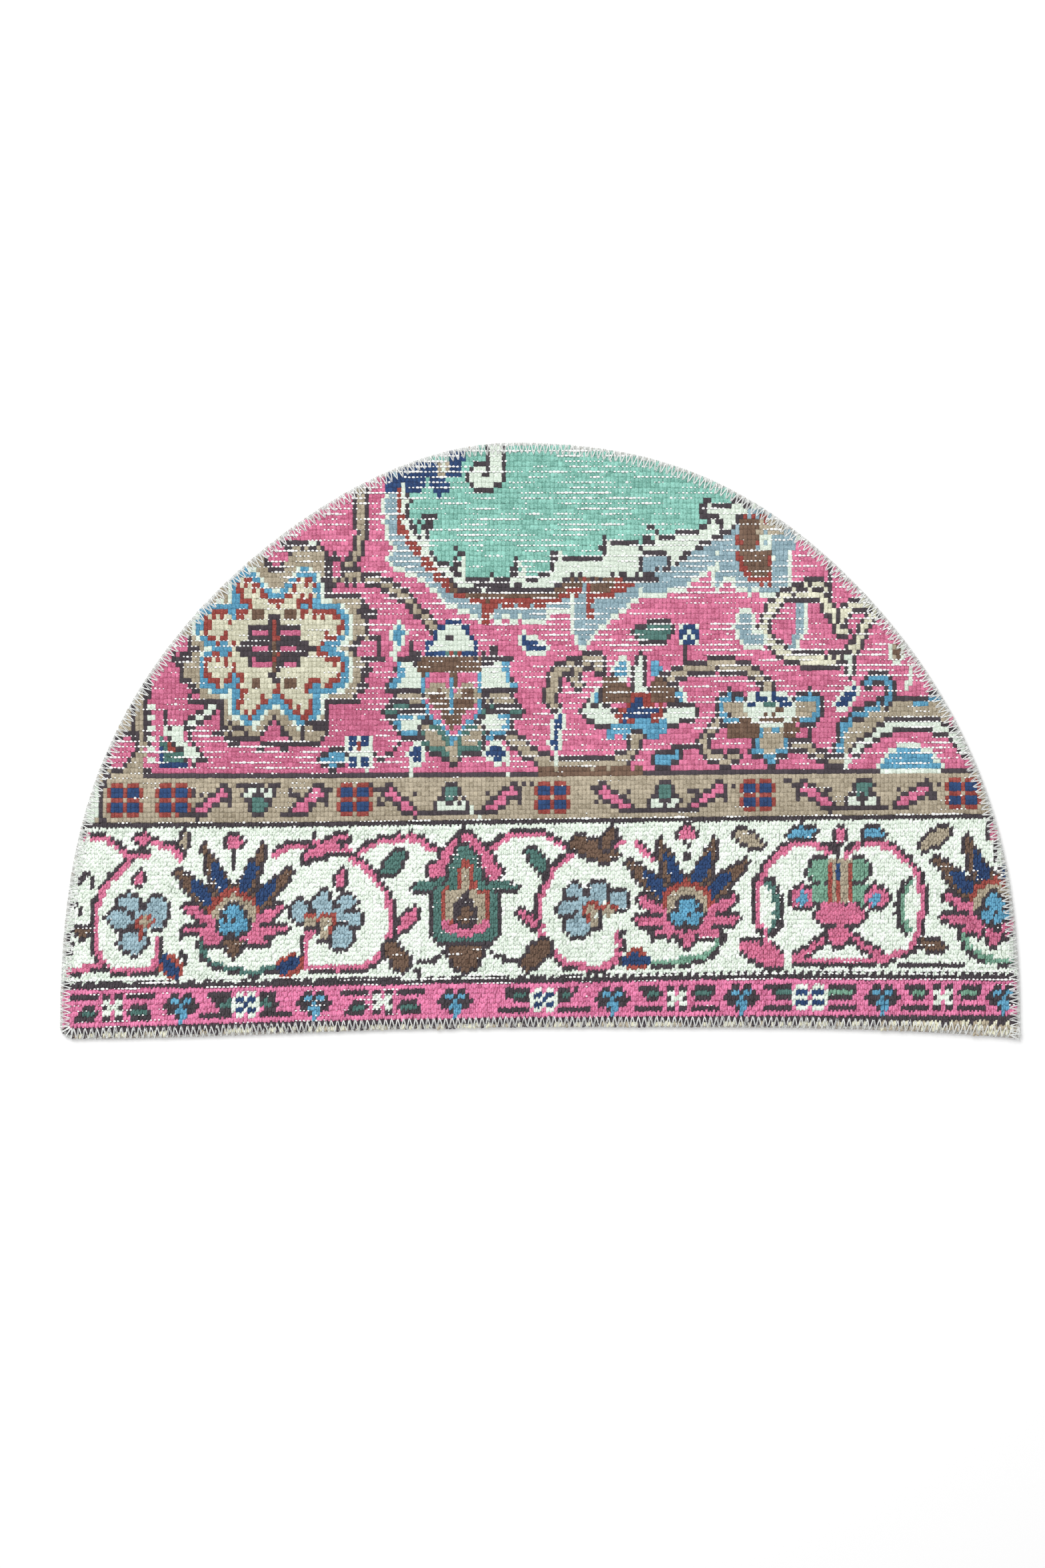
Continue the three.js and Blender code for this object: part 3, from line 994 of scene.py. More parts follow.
# %% Leaves and twigs without one
paint(rug.line(THIN, (249, -85), (249, -96)) | rug.line(4, (-186, -74), (-186, -88)), "dark")
paint(rug.leaf((-174, -88), (-156, -82), 7) | rug.line(THIN, (-198, -101), (-160, -93)), "dark")
paint(rug.line(THIN, (-185, -81), (-186, -91)) | rug.line(3.6, (-176, -89), (-157, -89)), "rose")
paint(rug.line(4, (-297, -173), (-297, -177), (-294, -186)), "dark")
paint(rug.line(4, (-103, -190), (-100, -192)), "dark")
pair = rug.leaf((-128, -166), (-110, -190), 14) | rug.leaf((8, -166), (-14, -188), 14)
paint(pair, "brown", edge="dark")
paint(rug.line(THIN, (-108, -181), (-92, -183), (-84, -178), (-76, -174)), "dark")
paint(rug.line(THIN, (-44, -173), (-36, -177), (-27, -181), (-18, -181)), "dark")
for tail, tip in (((-315, -179), (-299, -196)), ((-219, -193), (-198, -180)), ((69, -181), (92, -182))):
    paint(rug.leaf(tail, tip, 18), "brick")
    paint(rug.leaf(tail, tip, 10), "navy")
tell("leaves and twigs", "dark", "brick")

# %% Green scrolls and flecks
for points in (
    ((-281, -168), (-276, -181), (-262, -187), (-240, -191), (-220, -188)),
    ((94, -184), (127, -181), (139, -177), (147, -168), (150, -158)),
    ((351, -160), (356, -170), (368, -179), (392, -183)),
):
    paint(rug.line(3.6, *aside(points, -3.2), smooth=False), "dark")
    paint(rug.line(4, *points), "green" if points[0][0] < 0 else "sage")
for points in (
    ((-383, -117), (-377, -111), (-371, -114), (-372, -121)),
    ((-391, -134), (-384, -136), (-381, -144)),
    ((-394, -162), (-388, -170)),
    ((-393, -176), (-386, -178)),
    ((92, -158), (95, -165)),
    ((151, -154), (153, -166)),
    ((-298, -157), (-299, -163)),
    ((-224, -164), (-223, -170)),
    ((297, -186), (352, -187)),
):
    paint(rug.line(THIN, *points), "dark")
paint(rug.leaf((-386, -160), (-374, -158), 6), "brown", edge="dark")
tell("scrolls and flecks", "green", "sage", "dark")

# %% [markdown]
# ## The bell flower
# A green bell hangs under two rose leaves, with brick and camel inside it and a brown foot. It is the
# same left and right, so all but its drop is drawn as one half and mirrored.

# %% Bell flower
for side, outer in ((-1, " left"), (1, " right")):
    at = Place(-62, 0, side)
    paint(at.line((9, 13), (1, -80), (9, -88), (16, -98), (23, -108)), "rose", edge="dark")
    rim_line = at.line(6, (24, -122), (24, -158), (14, -165), (0, -167))
    paint(rim_line, "green", edge="dark", sides="below" + outer)
    paint(at.line((8, 6), (8, -118), (24, -118), (40, -121)), "green", edge="dark", sides="below" + outer)
    paint(at.shape((0, -90), (14, -118), (22, -122), (22, -160), (0, -166)), "green")
    paint(at.line(7, (2, -92), (8, -103), (12, -118)), "green", edge="dark", sides="above" + outer)
    bell = at.shape((0, -97), (5, -101), (7, -112), (8, -122), (19.5, -122), (19.5, -153), (0, -158))
    paint(bell, "brick")
    paint(at.shape((0, -101), (3, -108), (5, -124), (16, -125), (16, -149), (0, -152)), "camel")
    paint(at.line(9, (0, -158), (12, -155), (17, -152)), "rose")
    paint(at.oval(0, -174, 13, 16) & (at.v < -170), "brown", edge="dark")
drop = rug.shape((-62, -124), (-51, -139), (-51, -149), (-58, -156), (-66, -156), (-73, -149), (-73, -139))
paint(drop, "dark")
paint(rug.oval(-62, -146, 5.5, 7), "brown")
tell("bell flower", "green", "brick")

# %% [markdown]
# ## The wide flower between two scrolls
# Two rose scrolls, each bent like a C, hold sage and rose petals about a striped camel middle. Inside
# them run leaves that are green at the left and sage at the right, as another skein was taken there.

# %% Its scrolls and petals
C_SCROLL = ((7, -94), (14, -88), (30, -86), (42, -88), (54, -98))
C_SCROLL += ((63, -109), (68, -124), (68, -142), (65, -157))
for side, outer in ((-1, " left"), (1, " right")):
    at = Place(249, 0, side)
    paint(at.line(3.6, *aside(C_SCROLL, 3.4), smooth=False), "dark")
    paint(at.line(4.2, *C_SCROLL), "rose")
    paint(at.line(4.5, (60, -114), (52, -122), (48, -137), (50, -152), (56, -161)), "dark")
    inner = at.line(4, (60, -118), (55, -124), (52, -137), (54, -151), (58, -158))
    paint(inner, "green" if side < 0 else "sage")
    paint(at.oval(16, -107, 9, 9.5), "sage", edge="dark", sides="above below" + outer)
    paint(at.oval(16, -127, 10, 9.5), "sage", edge="dark", sides="below" + outer)
    paint(at.oval(31, -130, 9, 9), "rose", edge="dark", sides="above below" + outer)
    paint(at.oval(30, -130, 5, 5.5), "sky")
    foot = at.line(5, (8, -161), (18, -168), (28, -175), (37, -181))
    paint(foot, "rose", edge="dark", sides="above below")
tell("scrolls and petals", "rose", "sage")

# %% Its middle and foot
at = Place(249, 0)
paint(at.box(-10, 10, -136, -98), "camel")
for u in (-8, 0, 8):
    paint(at.line(THIN, (u, -104), (u, -135)), "brick")
paint(at.oval(0, -108, 2.5, 6), "navy")
cup = at.shape((-21, -143), (-13, -135), (13, -135), (21, -143), (15, -152), (-15, -152))
paint(cup, "rose", edge="dark", sides="below left right")
paint(at.oval(0, -161, 9, 8), "rose", edge="dark", sides="below left right")
paint(at.line(3.6, (-36, -187), (40, -187)), "dark")
paint(at.line(4, (-36, -183), (40, -183)), "rose")
paint(rug.leaf((166, -168), (204, -184), 16), "rose", edge="dark", sides="above below")
scroll((186, -157), (189, -168), side=-1)
scroll((314, -157), (311, -168), (304, -175), (290, -178))
tell("wide flower", "camel", "rose")

# %% [markdown]
# ## The outer border
# Along the second rose stripe a small white flower between two green leaves, a sky-blue star and a block
# of cream and navy take turns, with short dark lines beside them. They are only a few knots high, so
# they are charted knot by knot, in the letters set out above. The white flower comes both ways up, and
# the last one has its leaves in sage.

# %% Charts of the flower and the star
STRIPE = -214.8  # level of its middle row
FLOWER = (
    "ddddddd.dd.dd.ddddddd",
    "........cc.cc........",
    "...ddd..dcccd..dddd..",
    "..dgggd.cc.cc.dggggd.",
    ".ddddd..dd.dd..ddddd.",
)
STAR = (
    ".........",
    "..dd.dd..",
    ".dssdssd.",
    "ddddsdddd",
    ".ddsssdd.",
    "...dss...",
    "....s....",
)
print("flower and star:", len(FLOWER[0]), "and", len(STAR[0]), "knots wide")

# %% Charts of the blocks
LEFT_BLOCK = (
    "..dddddd.cc.cc.dddd....",
    "...ddddgcnncnncdgdd....",
    "....dgggcccncccgggdd...",
    ".....dddcnncnnc.ddd....",
    "dddddddd.cc.cc.dddddddd",
)
MIDDLE_BLOCK = (
    "..dddddd.cc.cc.ddd.d...",
    "..ddgggdcnncnncdggd....",
    "....ddddcccncccddd.....",
    "........cnncnnc........",
    "dddddddd.cc.cc.dddddddd",
)
RIGHT_BLOCK = (
    "ddddddd.ccc.ccc.ddddddd",
    "..dggggcnnncnnncaaaaaad",
    "...ddddcccc.ccccdddddd.",
    ".......cnnncnnnc.......",
    "ddddddd.ccc.ccc.ddddddd",
)
print("blocks:", len(LEFT_BLOCK[0]), "knots wide")

# %% Outer border
for x in (-356, -131):
    stamp(x, STRIPE, *FLOWER, heights=LEVEL)
stamp(114, STRIPE, *FLOWER[::-1], heights=LEVEL)
stamp(334, STRIPE, *(row.replace("g", "a") for row in FLOWER[::-1]), heights=LEVEL)
for x in (-299, -188, -71, 60, 166, 286, 386):
    stamp(x, STRIPE, *STAR, heights=LEVEL)
for x, rows in ((-245, LEFT_BLOCK), (3, MIDDLE_BLOCK), (226, RIGHT_BLOCK)):
    stamp(x, STRIPE, *rows, heights=LEVEL)
tell("outer border", "pink", "cream", "dark")

# %% [markdown]
# ## Height of the pile
# Feet wore the field down nearly to its knots, so its pile stands lower than that of the borders. The
# height repeats the formula of the CAD solid, swells and hollows too. Near the rim the thread presses
# the pile down, and the tufts start a little inside the cut, because the stitches cover the last few mm.

# %% Height of the pile
WORN_PILE, EXTRA_PILE = 4.3, 2.1  # mm of pile in the field, and how much more in the borders
UNEVEN = 0.3  # mm, hollows and swells
WORN_FROM, FULL_BELOW = -25, -75  # the field's pile above the one height, the borders' below the other


def smooth(a, b, value):
    """0 where a value is at a, 1 where it is at b, and an S-shaped rise between."""
    t = np.clip((value - a) / (b - a), 0, 1)
    return t * t * (3 - 2 * t)


def pile_height(x, y):
    """Height of the pile in mm at a place on the rug."""
    full = 1 - smooth(FULL_BELOW, WORN_FROM, y)
    swell = np.sin(x / 61 + 1) * np.cos(y / 47) + np.sin((x + y) / 33) / 2
    return WORN_PILE + EXTRA_PILE * full + UNEVEN * swell


print("pile:", np.round([pile_height(0, 200), pile_height(0, -150)], 1), "mm, worn and full")

# %% Knots inside the cut
HEM = 3.2  # mm of rim without tufts
CHUNKS = 60  # the distances are worked out in parts, because all at once would fill the memory


def rim_distance(x, y, ring):
    """Distance in mm from points to the nearest point of a ring."""
    points = np.column_stack([np.ravel(x), np.ravel(y)])
    chunks = np.array_split(points, CHUNKS)
    nearest = [np.linalg.norm(part[:, None] - ring[None], axis=2).min(1) for part in chunks]
    return np.concatenate(nearest).reshape(np.shape(x))


inside = Place(slip=(0, 0)).shape(*map(tuple, cut(HEM)))
reach = rim_distance(X, Y, cut(arc_steps=700, edge_steps=400))
HEIGHT = np.minimum(pile_height(X, Y), 3.4 + 0.28 * reach)  # pressed down by the thread near the rim
print("knots:", int(inside.sum()))

# %% [markdown]
# ## Wear
# Where the wool between two rows is gone, the white weft shows. That happens in runs along a row more
# than at single knots, because a row is beaten down as one. So the wear is noise that changes slowly
# along a row: most of it freely from row to row, and a part of it in patches over several rows. The
# random numbers are smoothed with a window and then replaced by their rank, so that any share of the
# knots can be asked for.

# %% Noise in runs


def run_noise(length, rows=0):
    """Noise from 0 to 1 that changes over a length in knots along the rows, and over a number of rows."""
    raw = rng.standard_normal((X.shape[0] + 8 * rows, X.shape[1] + 8 * length))
    soft = np.apply_along_axis(np.convolve, 1, raw, np.hanning(2 * length + 1), "same")
    soft = np.apply_along_axis(np.convolve, 0, soft, np.hanning(2 * rows + 3), "same")
    soft = soft[4 * rows : X.shape[0] + 4 * rows, 4 * length : -4 * length]
    return soft.argsort(axis=None).argsort().reshape(X.shape) / soft.size


worn = run_noise(4) * 0.68 + run_noise(9, 6) * 0.32 + rng.normal(0, 0.03, X.shape)
print("wear noise:", np.round([worn.min(), worn.mean(), worn.max()], 2))

# %% Share of the gaps between knots that show weft
field = LEVEL > FIELD_LINE
guard = (LEVEL < FIELD_LINE) & (LEVEL > GUARD_LINE)
border = LEVEL < GUARD_LINE
share = np.full(X.shape, 0.66)
share[chart == DYE["teal"]] = 0.6
share += 0.24 * smooth(150, 190, Y) * smooth(-70, -30, X) * smooth(110, 60, X)  # more at the crown
share -= 0.27 * smooth(-110, -210, X) * smooth(140, 110, Y) * smooth(-10, 25, Y)  # less on the left
share[(LEVEL < FIELD_LINE + 2) & (LEVEL > GUARD_LINE)] = 0.3
share[border] = 0.08
brittle = np.isin(chart, [DYE[name] for name in ("brown", "dark", "green", "camel")])
share[border & brittle] = 0.38  # what turns wool dark also makes it brittle
share[LEVEL < STRIPE_LINE] = np.where(X < -120, 0.45, 0.25)[LEVEL < STRIPE_LINE]
share[(np.abs(LEVEL - GUARD_LINE) < 3) | (np.abs(LEVEL - STRIPE_LINE) < 5)] = 0.6
WEAR = smooth(1 - share, 1.55 - share, worn)
shows = WEAR[inside & (LEVEL > -25)] > 0.04
print("share of the field where weft shows:", round(float(shows.mean()), 2))

# %% [markdown]
# ## Shades
# No two skeins took the dye alike, and the colour drifts from row to row as a new one was started.
# Single knots differ too. SHADE is 0.5 for the plain dye, less for darker and more for lighter. The
# walked-on bands are darkened as a whole, which is painted shade for the shading that the domed tops of
# their low tufts don't give, and their pale dyes are soiled besides.

# %% Shades of the knots
SKEIN = 6  # rows knotted from one skein
drift = np.repeat(rng.normal(0, 0.35, -(-X.shape[0] // SKEIN)), SKEIN)[: X.shape[0], None]
SHADE = 0.5 + 0.16 * drift + rng.normal(0, 0.12, X.shape)
SHADE += (run_noise(2) - 0.5) * np.where((chart == DYE["cream"]) & border, 0.15, 0.3)
SHADE += 0.06 * np.sin(X / 60 + 1) * np.cos(Y / 50)
# Painted shade: the field and the guard darkened as a whole
SHADE -= np.where(field, 0.25, 0) + np.where(guard, 0.13, 0)
SHADE += np.where(field, 0.16 * np.clip((X + 60) / 200, -1, 0.4), 0)  # paler to the right
SHADE += np.where(LEVEL < OUTER_LINE - 1, 0.3, 0)
for name, soiled in (("cream", 0.42), ("mist", 0.28), ("sky", 0.12), ("brick", 0.3)):
    SHADE[(chart == DYE[name]) & (LEVEL > GUARD_LINE)] -= soiled
SHADE = np.clip(SHADE, 0, 1)
print("shades:", np.round([SHADE[inside & zone].mean() for zone in (field, guard, border)], 2))

# %% [markdown]
# ## Wool, cotton and thread
# All three are soft, matt fibres. A wool tuft is a bundle of cut ends, so seen close it has fine streaks
# across it and is darker in some clumps than in others. A picture of wool could give that, but noise on
# the object's own coordinates is as good and never repeats. The roughness is high because no fibre lies
# flat enough to mirror anything, and a little sheen stands for the light that fibres catch at a low
# angle.

# %% Colour and node helpers


def linear(hex_colour):
    """An sRGB colour such as #d5789d as the linear values that shaders use."""
    values = [int(hex_colour[i : i + 2], 16) / 255 for i in (1, 3, 5)]
    return tuple(v / 12.92 if v <= 0.04045 else ((v + 0.055) / 1.055) ** 2.4 for v in values) + (1.0,)


def scaled(colour, factor):
    return tuple(min(c * factor, 1) for c in colour[:3]) + (1.0,)


def add(material, kind, settings=(), **links):
    """Adds a node, with settings on it and links from sockets to its inputs by number or name."""
    node = material.node_tree.nodes.new(kind)
    for key, value in dict(settings).items():
        if isinstance(key, int) or key in node.inputs:
            node.inputs[key].default_value = value
        else:
            setattr(node, key, value)
    for key, socket in links.items():
        target = node.inputs[int(key[1:])] if key.startswith("_") else node.inputs[key]
        material.node_tree.links.new(target, socket)
    return node


print("half grey is", round(linear("#808080")[0], 3), "linear")

# %% [markdown]
# ## One recipe for a fibre
# Each knot's own shade goes through a ramp of three colours: deep, plain and light. Stretched noise adds
# streaks for the single fibres, and rounder noise adds clumps. Both move the shade up or down and also
# raise the surface a little, so light and colour change at the same places: partly the fibres' own
# tone, and partly painted shade in the hollows of the relief and painted light on its crests.

# %% Fibre material
FIBRE_IOR = 1.54  # wool and cotton alike
RELIEF = 0.0004  # metres, the depth of a fibre's relief


def fibre_material(name, ramp, roughness, sheen, streak, clump, bump):
    """A matt fibre. The ramp gives its colour from a shade, and streaks give its single fibres."""
    m = bpy.data.materials.new(name)
    m.use_nodes = True
    shader = m.node_tree.nodes["Principled BSDF"]
    place = add(m, "ShaderNodeTexCoord").outputs["Object"]
    stretched = add(m, "ShaderNodeMapping", {"Scale": streak}, Vector=place).outputs[0]
    fibres = add(m, "ShaderNodeTexNoise", {"Scale": 1.0, "Detail": 2.0}, Vector=stretched).outputs[0]
    shade = add(m, "ShaderNodeAttribute", {"attribute_name": "shade"}).outputs["Fac"]
    clumps = add(m, "ShaderNodeTexNoise", {"Scale": clump, "Detail": 1.0}, Vector=place).outputs[0]
    # Each noise is centred on 0: 1.1 x 0.5 - 0.55 and 1.3 x 0.5 - 0.65
    centred = {"operation": "MULTIPLY_ADD"}
    fine = add(m, "ShaderNodeMath", centred | {1: 1.1, 2: -0.55}, _0=fibres).outputs[0]
    coarse = add(m, "ShaderNodeMath", centred | {1: 1.3, 2: -0.65}, _0=clumps).outputs[0]
    # The same noise lowers the relief where it darkens the colour: painted shade in its hollows, beside the
    # fibres' own tone
    uneven = add(m, "ShaderNodeMath", {"operation": "ADD"}, _0=fine, _1=coarse).outputs[0]
    clamped_sum = {"operation": "ADD", "use_clamp": True}
    both = add(m, "ShaderNodeMath", clamped_sum, _0=shade, _1=uneven).outputs[0]
    colours = add(m, "ShaderNodeValToRGB", {}, Fac=both)
    deep, light = colours.color_ramp.elements
    deep.position, deep.color = 0.0, ramp[0]
    light.position, light.color = 1.0, ramp[2]
    colours.color_ramp.elements.new(0.5).color = ramp[1]
    m.node_tree.links.new(shader.inputs["Base Color"], colours.outputs[0])
    relief = add(m, "ShaderNodeBump", {"Strength": bump, "Distance": RELIEF}, Height=uneven).outputs[0]
    m.node_tree.links.new(shader.inputs["Normal"], relief)
    shader.inputs["Roughness"].default_value = roughness
    shader.inputs["IOR"].default_value = FIBRE_IOR
    shader.inputs["Sheen Weight"].default_value = sheen
    shader.inputs["Sheen Roughness"].default_value = 0.5
    return m


print("fibre relief:", RELIEF / MM, "mm")

# %% [markdown]
# ## The fourteen wools, the cotton and the thread
# Each wool is the recipe with its own two shades beside the plain one. A dark skein isn't just darker but
# also purer in colour, and the deep shade also gives the painted shade at the foot of a tuft, as the light
# one gives the painted light at its tip. The cotton of the foundation is smoother and whiter, and the
# thread of the rim has a faint gloss. Real fibres are some 0.03 mm thick, too fine to show here, so they
# are drawn coarser.

# %% The dyed wools
WOOL_STREAK = (2200, 900, 900)  # a streak about half a mm wide along the row and twice as long across it
WOOL_CLUMP = 750.0  # clumps of 1.3 mm, of which a knot has a few
wool = {}
for name, hex_colour in DYES.items():
    dye = linear(hex_colour)
    purest = max(dye[:3])
    depth = 0.62 + 0.08 * min(dye[:3])  # a pale wool varies less
    # The deep end serves a darker skein and the painted shade at tuft feet, the light end also the painted
    # light at tips
    deep = tuple(depth * c * (c / purest) ** 0.25 for c in dye[:3]) + (1.0,)
    ramp = (deep, dye, scaled(dye, 1.32))
    wool[name] = fibre_material("wool_" + name, ramp, 0.92, 0.12, WOOL_STREAK, WOOL_CLUMP, 0.8)
print("wools:", len(wool))

# %% The cotton and the thread
white = linear("#fcfdfb")
grey_white = linear("#dfe3e0")
beige_thread = linear("#b8a99b")
COTTON_STREAK, THREAD_STREAK = (900, 2500, 900), (1500, 1500, 3000)
cotton_ramp = (scaled(white, 0.8), white, scaled(white, 1.05))
cotton = fibre_material("cotton", cotton_ramp, 0.88, 0.05, COTTON_STREAK, 600.0, 0.3)
thread_ramp = (beige_thread, grey_white, white)
thread = fibre_material("overcast_thread", thread_ramp, 0.7, 0.1, THREAD_STREAK, 500.0, 0.3)
print("materials:", len(wool) + 2)

# %% [markdown]
# ## The knots
# A symmetric knot goes round two warps. Its loops show on the back as a small square of wool, and its
# two cut ends come up between the warps as one tuft. An instanced tuft would be easy, but in a joined
# mesh made from arrays each one can differ. A tuft here is a closed column of three sections, each of
# four corners: its foot at the back of the rug, a shoulder and a tip.

# %% Columns from arrays


def columns_mesh(name, rings, material, shade, flat=None):
    """Joins many closed columns into one mesh. rings is (columns, sections, corners, 3) in mm, from foot
    to tip. shade has one number a corner, and flat each corner's place in the piece's own UV map, in mm."""
    count, sections, corners, _ = rings.shape
    around = np.arange(corners)
    after = (around + 1) % corners
    step = np.arange(sections - 1)[:, None] * corners
    walls = np.stack([step + around, step + after, step + corners + after, step + corners + around], -1)
    first = np.arange(count)[:, None] * sections * corners
    walls = (first[:, None] + walls.reshape(1, -1, 4)).reshape(-1, 4)
    caps = np.vstack([first + around[::-1], first + (sections - 1) * corners + around])
    mesh = bpy.data.meshes.new(name)
    mesh.from_pydata((rings.reshape(-1, 3) * MM).tolist(), [], walls.tolist() + caps.tolist())
    mesh.shade_smooth()
    give_shade(mesh, np.clip(shade, 0, 1))
    if flat is not None:
        give_flat_map(mesh, flat)
    return place_mesh(mesh, material)


def give_shade(mesh, shade):
    """Writes the attribute that the fibre materials read, one number a vertex."""
    own = mesh.attributes.new("shade", "FLOAT", "POINT")
    own.data.foreach_set("value", shade.astype(np.float32).ravel())


MAP_WIDTH = 810  # mm of rug that the UV map spans, a little more than the rug


def give_flat_map(mesh, flat):
    """Gives each tuft a patch of its own in the piece's UV map, so that no two share baked colours."""
    corner_of = np.empty(len(mesh.loops), np.int32)
    mesh.loops.foreach_get("vertex_index", corner_of)
    uv = flat.reshape(-1, 2)[corner_of] / MAP_WIDTH + 0.5
    mesh.uv_layers.new(name="OFBake").data.foreach_set("uv", uv.astype(np.float32).ravel())


def place_mesh(mesh, material):
    """Adds a mesh to the scene as a piece that rides on the rug."""
    mesh.materials.append(material)
    piece = bpy.data.objects.new(mesh.name, mesh)
    bpy.context.scene.collection.objects.link(piece)
    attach(piece, "root")
    return piece


print("flat map:", MAP_WIDTH, "mm wide")

# %% [markdown]
# ## The shape of a tuft
# A tuft is squarish at its foot, where it is held by its neighbours, widest at its shoulder and narrow
# at its tip. All of its numbers vary a little. Its foot and shoulder are painted darker, as painted shade
# where the light doesn't reach between tufts, and its tip is painted lighter, as painted light.

# %% Tufts
SECTIONS, CORNERS = 3, 4
ALONG = (0, 0.6, 1)  # how far each section has gone from foot to tip
PATCH = (0.66, 0.45, 0.2)  # how wide it is in the flat map, as a part of the tuft's own patch
# Painted shade at a tuft's foot and shoulder, painted light at its tip
PAINTED_SHADE_AND_LIGHT = (-0.2, -0.14, 0.14)  # how much darker or lighter it is
FOOT_HEIGHT = 0.12  # mm
CORNER_REACH = 0.71  # from a square's middle to its corner, for a side of 1


def tufts(cell, size, foot, tip, height, shade, widths, shoulder):
    """Sections, shades and flat places of tufts. cell is the middle of a tuft's own patch of the rug, and
    size that patch's width and depth. foot and tip are how far its two ends stand from there. widths are
    those of its three sections, and shoulder the part of its height at which the middle one lies."""
    n = len(cell)
    angle = rng.normal(np.pi / 4, 0.1, (n, 1)) + np.arange(CORNERS) * np.pi / 2
    unit = np.stack([np.cos(angle), np.sin(angle)], -1) * CORNER_REACH
    rings = np.empty((n, SECTIONS, CORNERS, 3))
    flat = np.empty((n, SECTIONS, CORNERS, 2))
    shades = np.repeat(shade[:, None, None], SECTIONS, 1) + rng.normal(0, 0.08, (n, SECTIONS, CORNERS))
    rises = (np.full(n, FOOT_HEIGHT), height * shoulder, height)
    for i in range(SECTIONS):
        centre = cell + foot * (1 - ALONG[i]) + tip * ALONG[i]
        rings[:, i, :, :2] = centre[:, None] + unit * size[:, None] * widths[i]
        rings[:, i, :, :2] += rng.normal(0, 0.06 * i, (n, CORNERS, 2))
        rings[:, i, :, 2] = rises[i][:, None] + rng.normal(0, 0.05 * i, (n, CORNERS))
        flat[:, i] = cell[:, None] + unit * size[:, None] * PATCH[i]
        # painted shade at the foot and shoulder, painted light at the tip
        shades[:, i] += PAINTED_SHADE_AND_LIGHT[i]
    return rings, shades, flat


print("a tuft:", 2 * CORNERS * (SECTIONS - 1) + 2 * (CORNERS - 2), "triangles")

# %% [markdown]
# ## Worn and full pile
# In the worn field one column is one knot, blunt and upright. In the full pile of the borders each of
# the two ends has a column of its own. They lean the way that the weaver combed them, so their tips lie
# over the next row, and at a change of dye they stand against it like a comb. Both kinds are a little
# wider than the place they have, so that they press against their neighbours.

# %% Worn tufts and full ones


def worn_tufts(mask):
    """One blunt column a knot, drawn back from the gap where weft shows."""
    n, wear = int(mask.sum()), WEAR[mask]
    depth = STEP[mask]
    size = np.column_stack([np.full(n, KNOT * 1.04), depth * (1.08 - 0.22 * wear)])
    foot = np.column_stack([np.zeros(n), -0.06 * depth * wear])
    tip = foot + rng.normal((-0.1, -0.15), (0.16, 0.2), (n, 2))
    height = HEIGHT[mask] - 0.2 * wear + rng.normal(0, 0.07, n)
    at = np.column_stack([X[mask], Y[mask]])
    return [tufts(at, size, foot, tip, height, SHADE[mask], (0.94, 1.06, 0.58), 0.88)]


def full_tufts(mask):
    """Two leaning columns a knot, one for each of its ends."""
    n, wear = int(mask.sum()), WEAR[mask]
    made = []
    for side in (-1, 1):
        at = np.column_stack([X[mask] + side * KNOT * 0.24, Y[mask]])
        size = np.column_stack([np.full(n, KNOT / 2 * 1.1), STEP[mask] * (1.1 - 0.28 * wear)])
        foot = np.column_stack([np.full(n, 0.5 - side * 0.1), np.full(n, 1.0)])
        tip = rng.normal((-0.5, -1.15 + 0.6 * side), (0.32, 0.55), (n, 2))
        height = HEIGHT[mask] - 0.7 * wear + rng.normal(0, 0.2, n)
        shade = SHADE[mask] + rng.normal(0, 0.07, n)
        made.append(tufts(at, size, foot, tip, height, shade, (0.95, 1.1, 0.5), 0.82))
    return made


STEP = np.repeat(row_step[:, None], X.shape[1], 1)
full = LEVEL < GUARD_LINE + 1
print("knots:", int((inside & ~full).sum()), "worn and", int((inside & full).sum()), "full")

# %% [markdown]
# ## One mesh for each dye
# All tufts of one dye share a mesh and a material. One mesh for the whole pile would be too big to
# export whole, and a mesh for each knot would make thousands of pieces.

# %% Pile
for name, number in DYE.items():
    mine = inside & (chart == number)
    batches = worn_tufts(mine & ~full) + full_tufts(mine & full)
    rings, shades, flat = (np.concatenate(batch) for batch in zip(*batches))
    piece = columns_mesh("pile_" + name, rings, wool[name], shades, flat)
    print(piece.name, len(rings), "tufts")

# %% [markdown]
# ## The foundation
# Warp and weft are white cotton. Between the knots hardly any of it shows, so one thin slab stands for
# it: the outline as one face, cut into triangles and extruded with bmesh. Modelling every warp would
# cost far more faces than the eye would get from it.

# %% Foundation slab
SLAB_LOW, SLAB_TOP = 0.5, 1.9  # mm
SLAB_SHADE = 0.45
bm = bmesh.new()
corners = [bm.verts.new((px * MM, py * MM, SLAB_LOW * MM)) for px, py in cut(1.2)]
underside = bm.faces.new(corners)
bmesh.ops.triangulate(bm, faces=[underside])
raised = bmesh.ops.extrude_face_region(bm, geom=bm.faces[:])
moved = [v for v in raised["geom"] if isinstance(v, bmesh.types.BMVert)]
bmesh.ops.translate(bm, verts=moved, vec=(0, 0, (SLAB_TOP - SLAB_LOW) * MM))
bmesh.ops.recalc_face_normals(bm, faces=bm.faces[:])
mesh = bpy.data.meshes.new("foundation")
bm.to_mesh(mesh)
bm.free()
give_shade(mesh, np.full(len(mesh.vertices), SLAB_SHADE))
foundation = place_mesh(mesh, cotton)
print("foundation:", len(mesh.polygons), "faces")

# %% [markdown]
# ## The weft where the pile is gone
# Only there does the weft come to light, as a row of white beads, one for each warp that it passes over.
# They are what makes a worn rug look worn, so they are modelled. Each lies in the gap above its knot and
# between two tufts: round where it passes over a warp, with a thin tail on either side where it dips.
# The more a place is worn, the fatter it is.

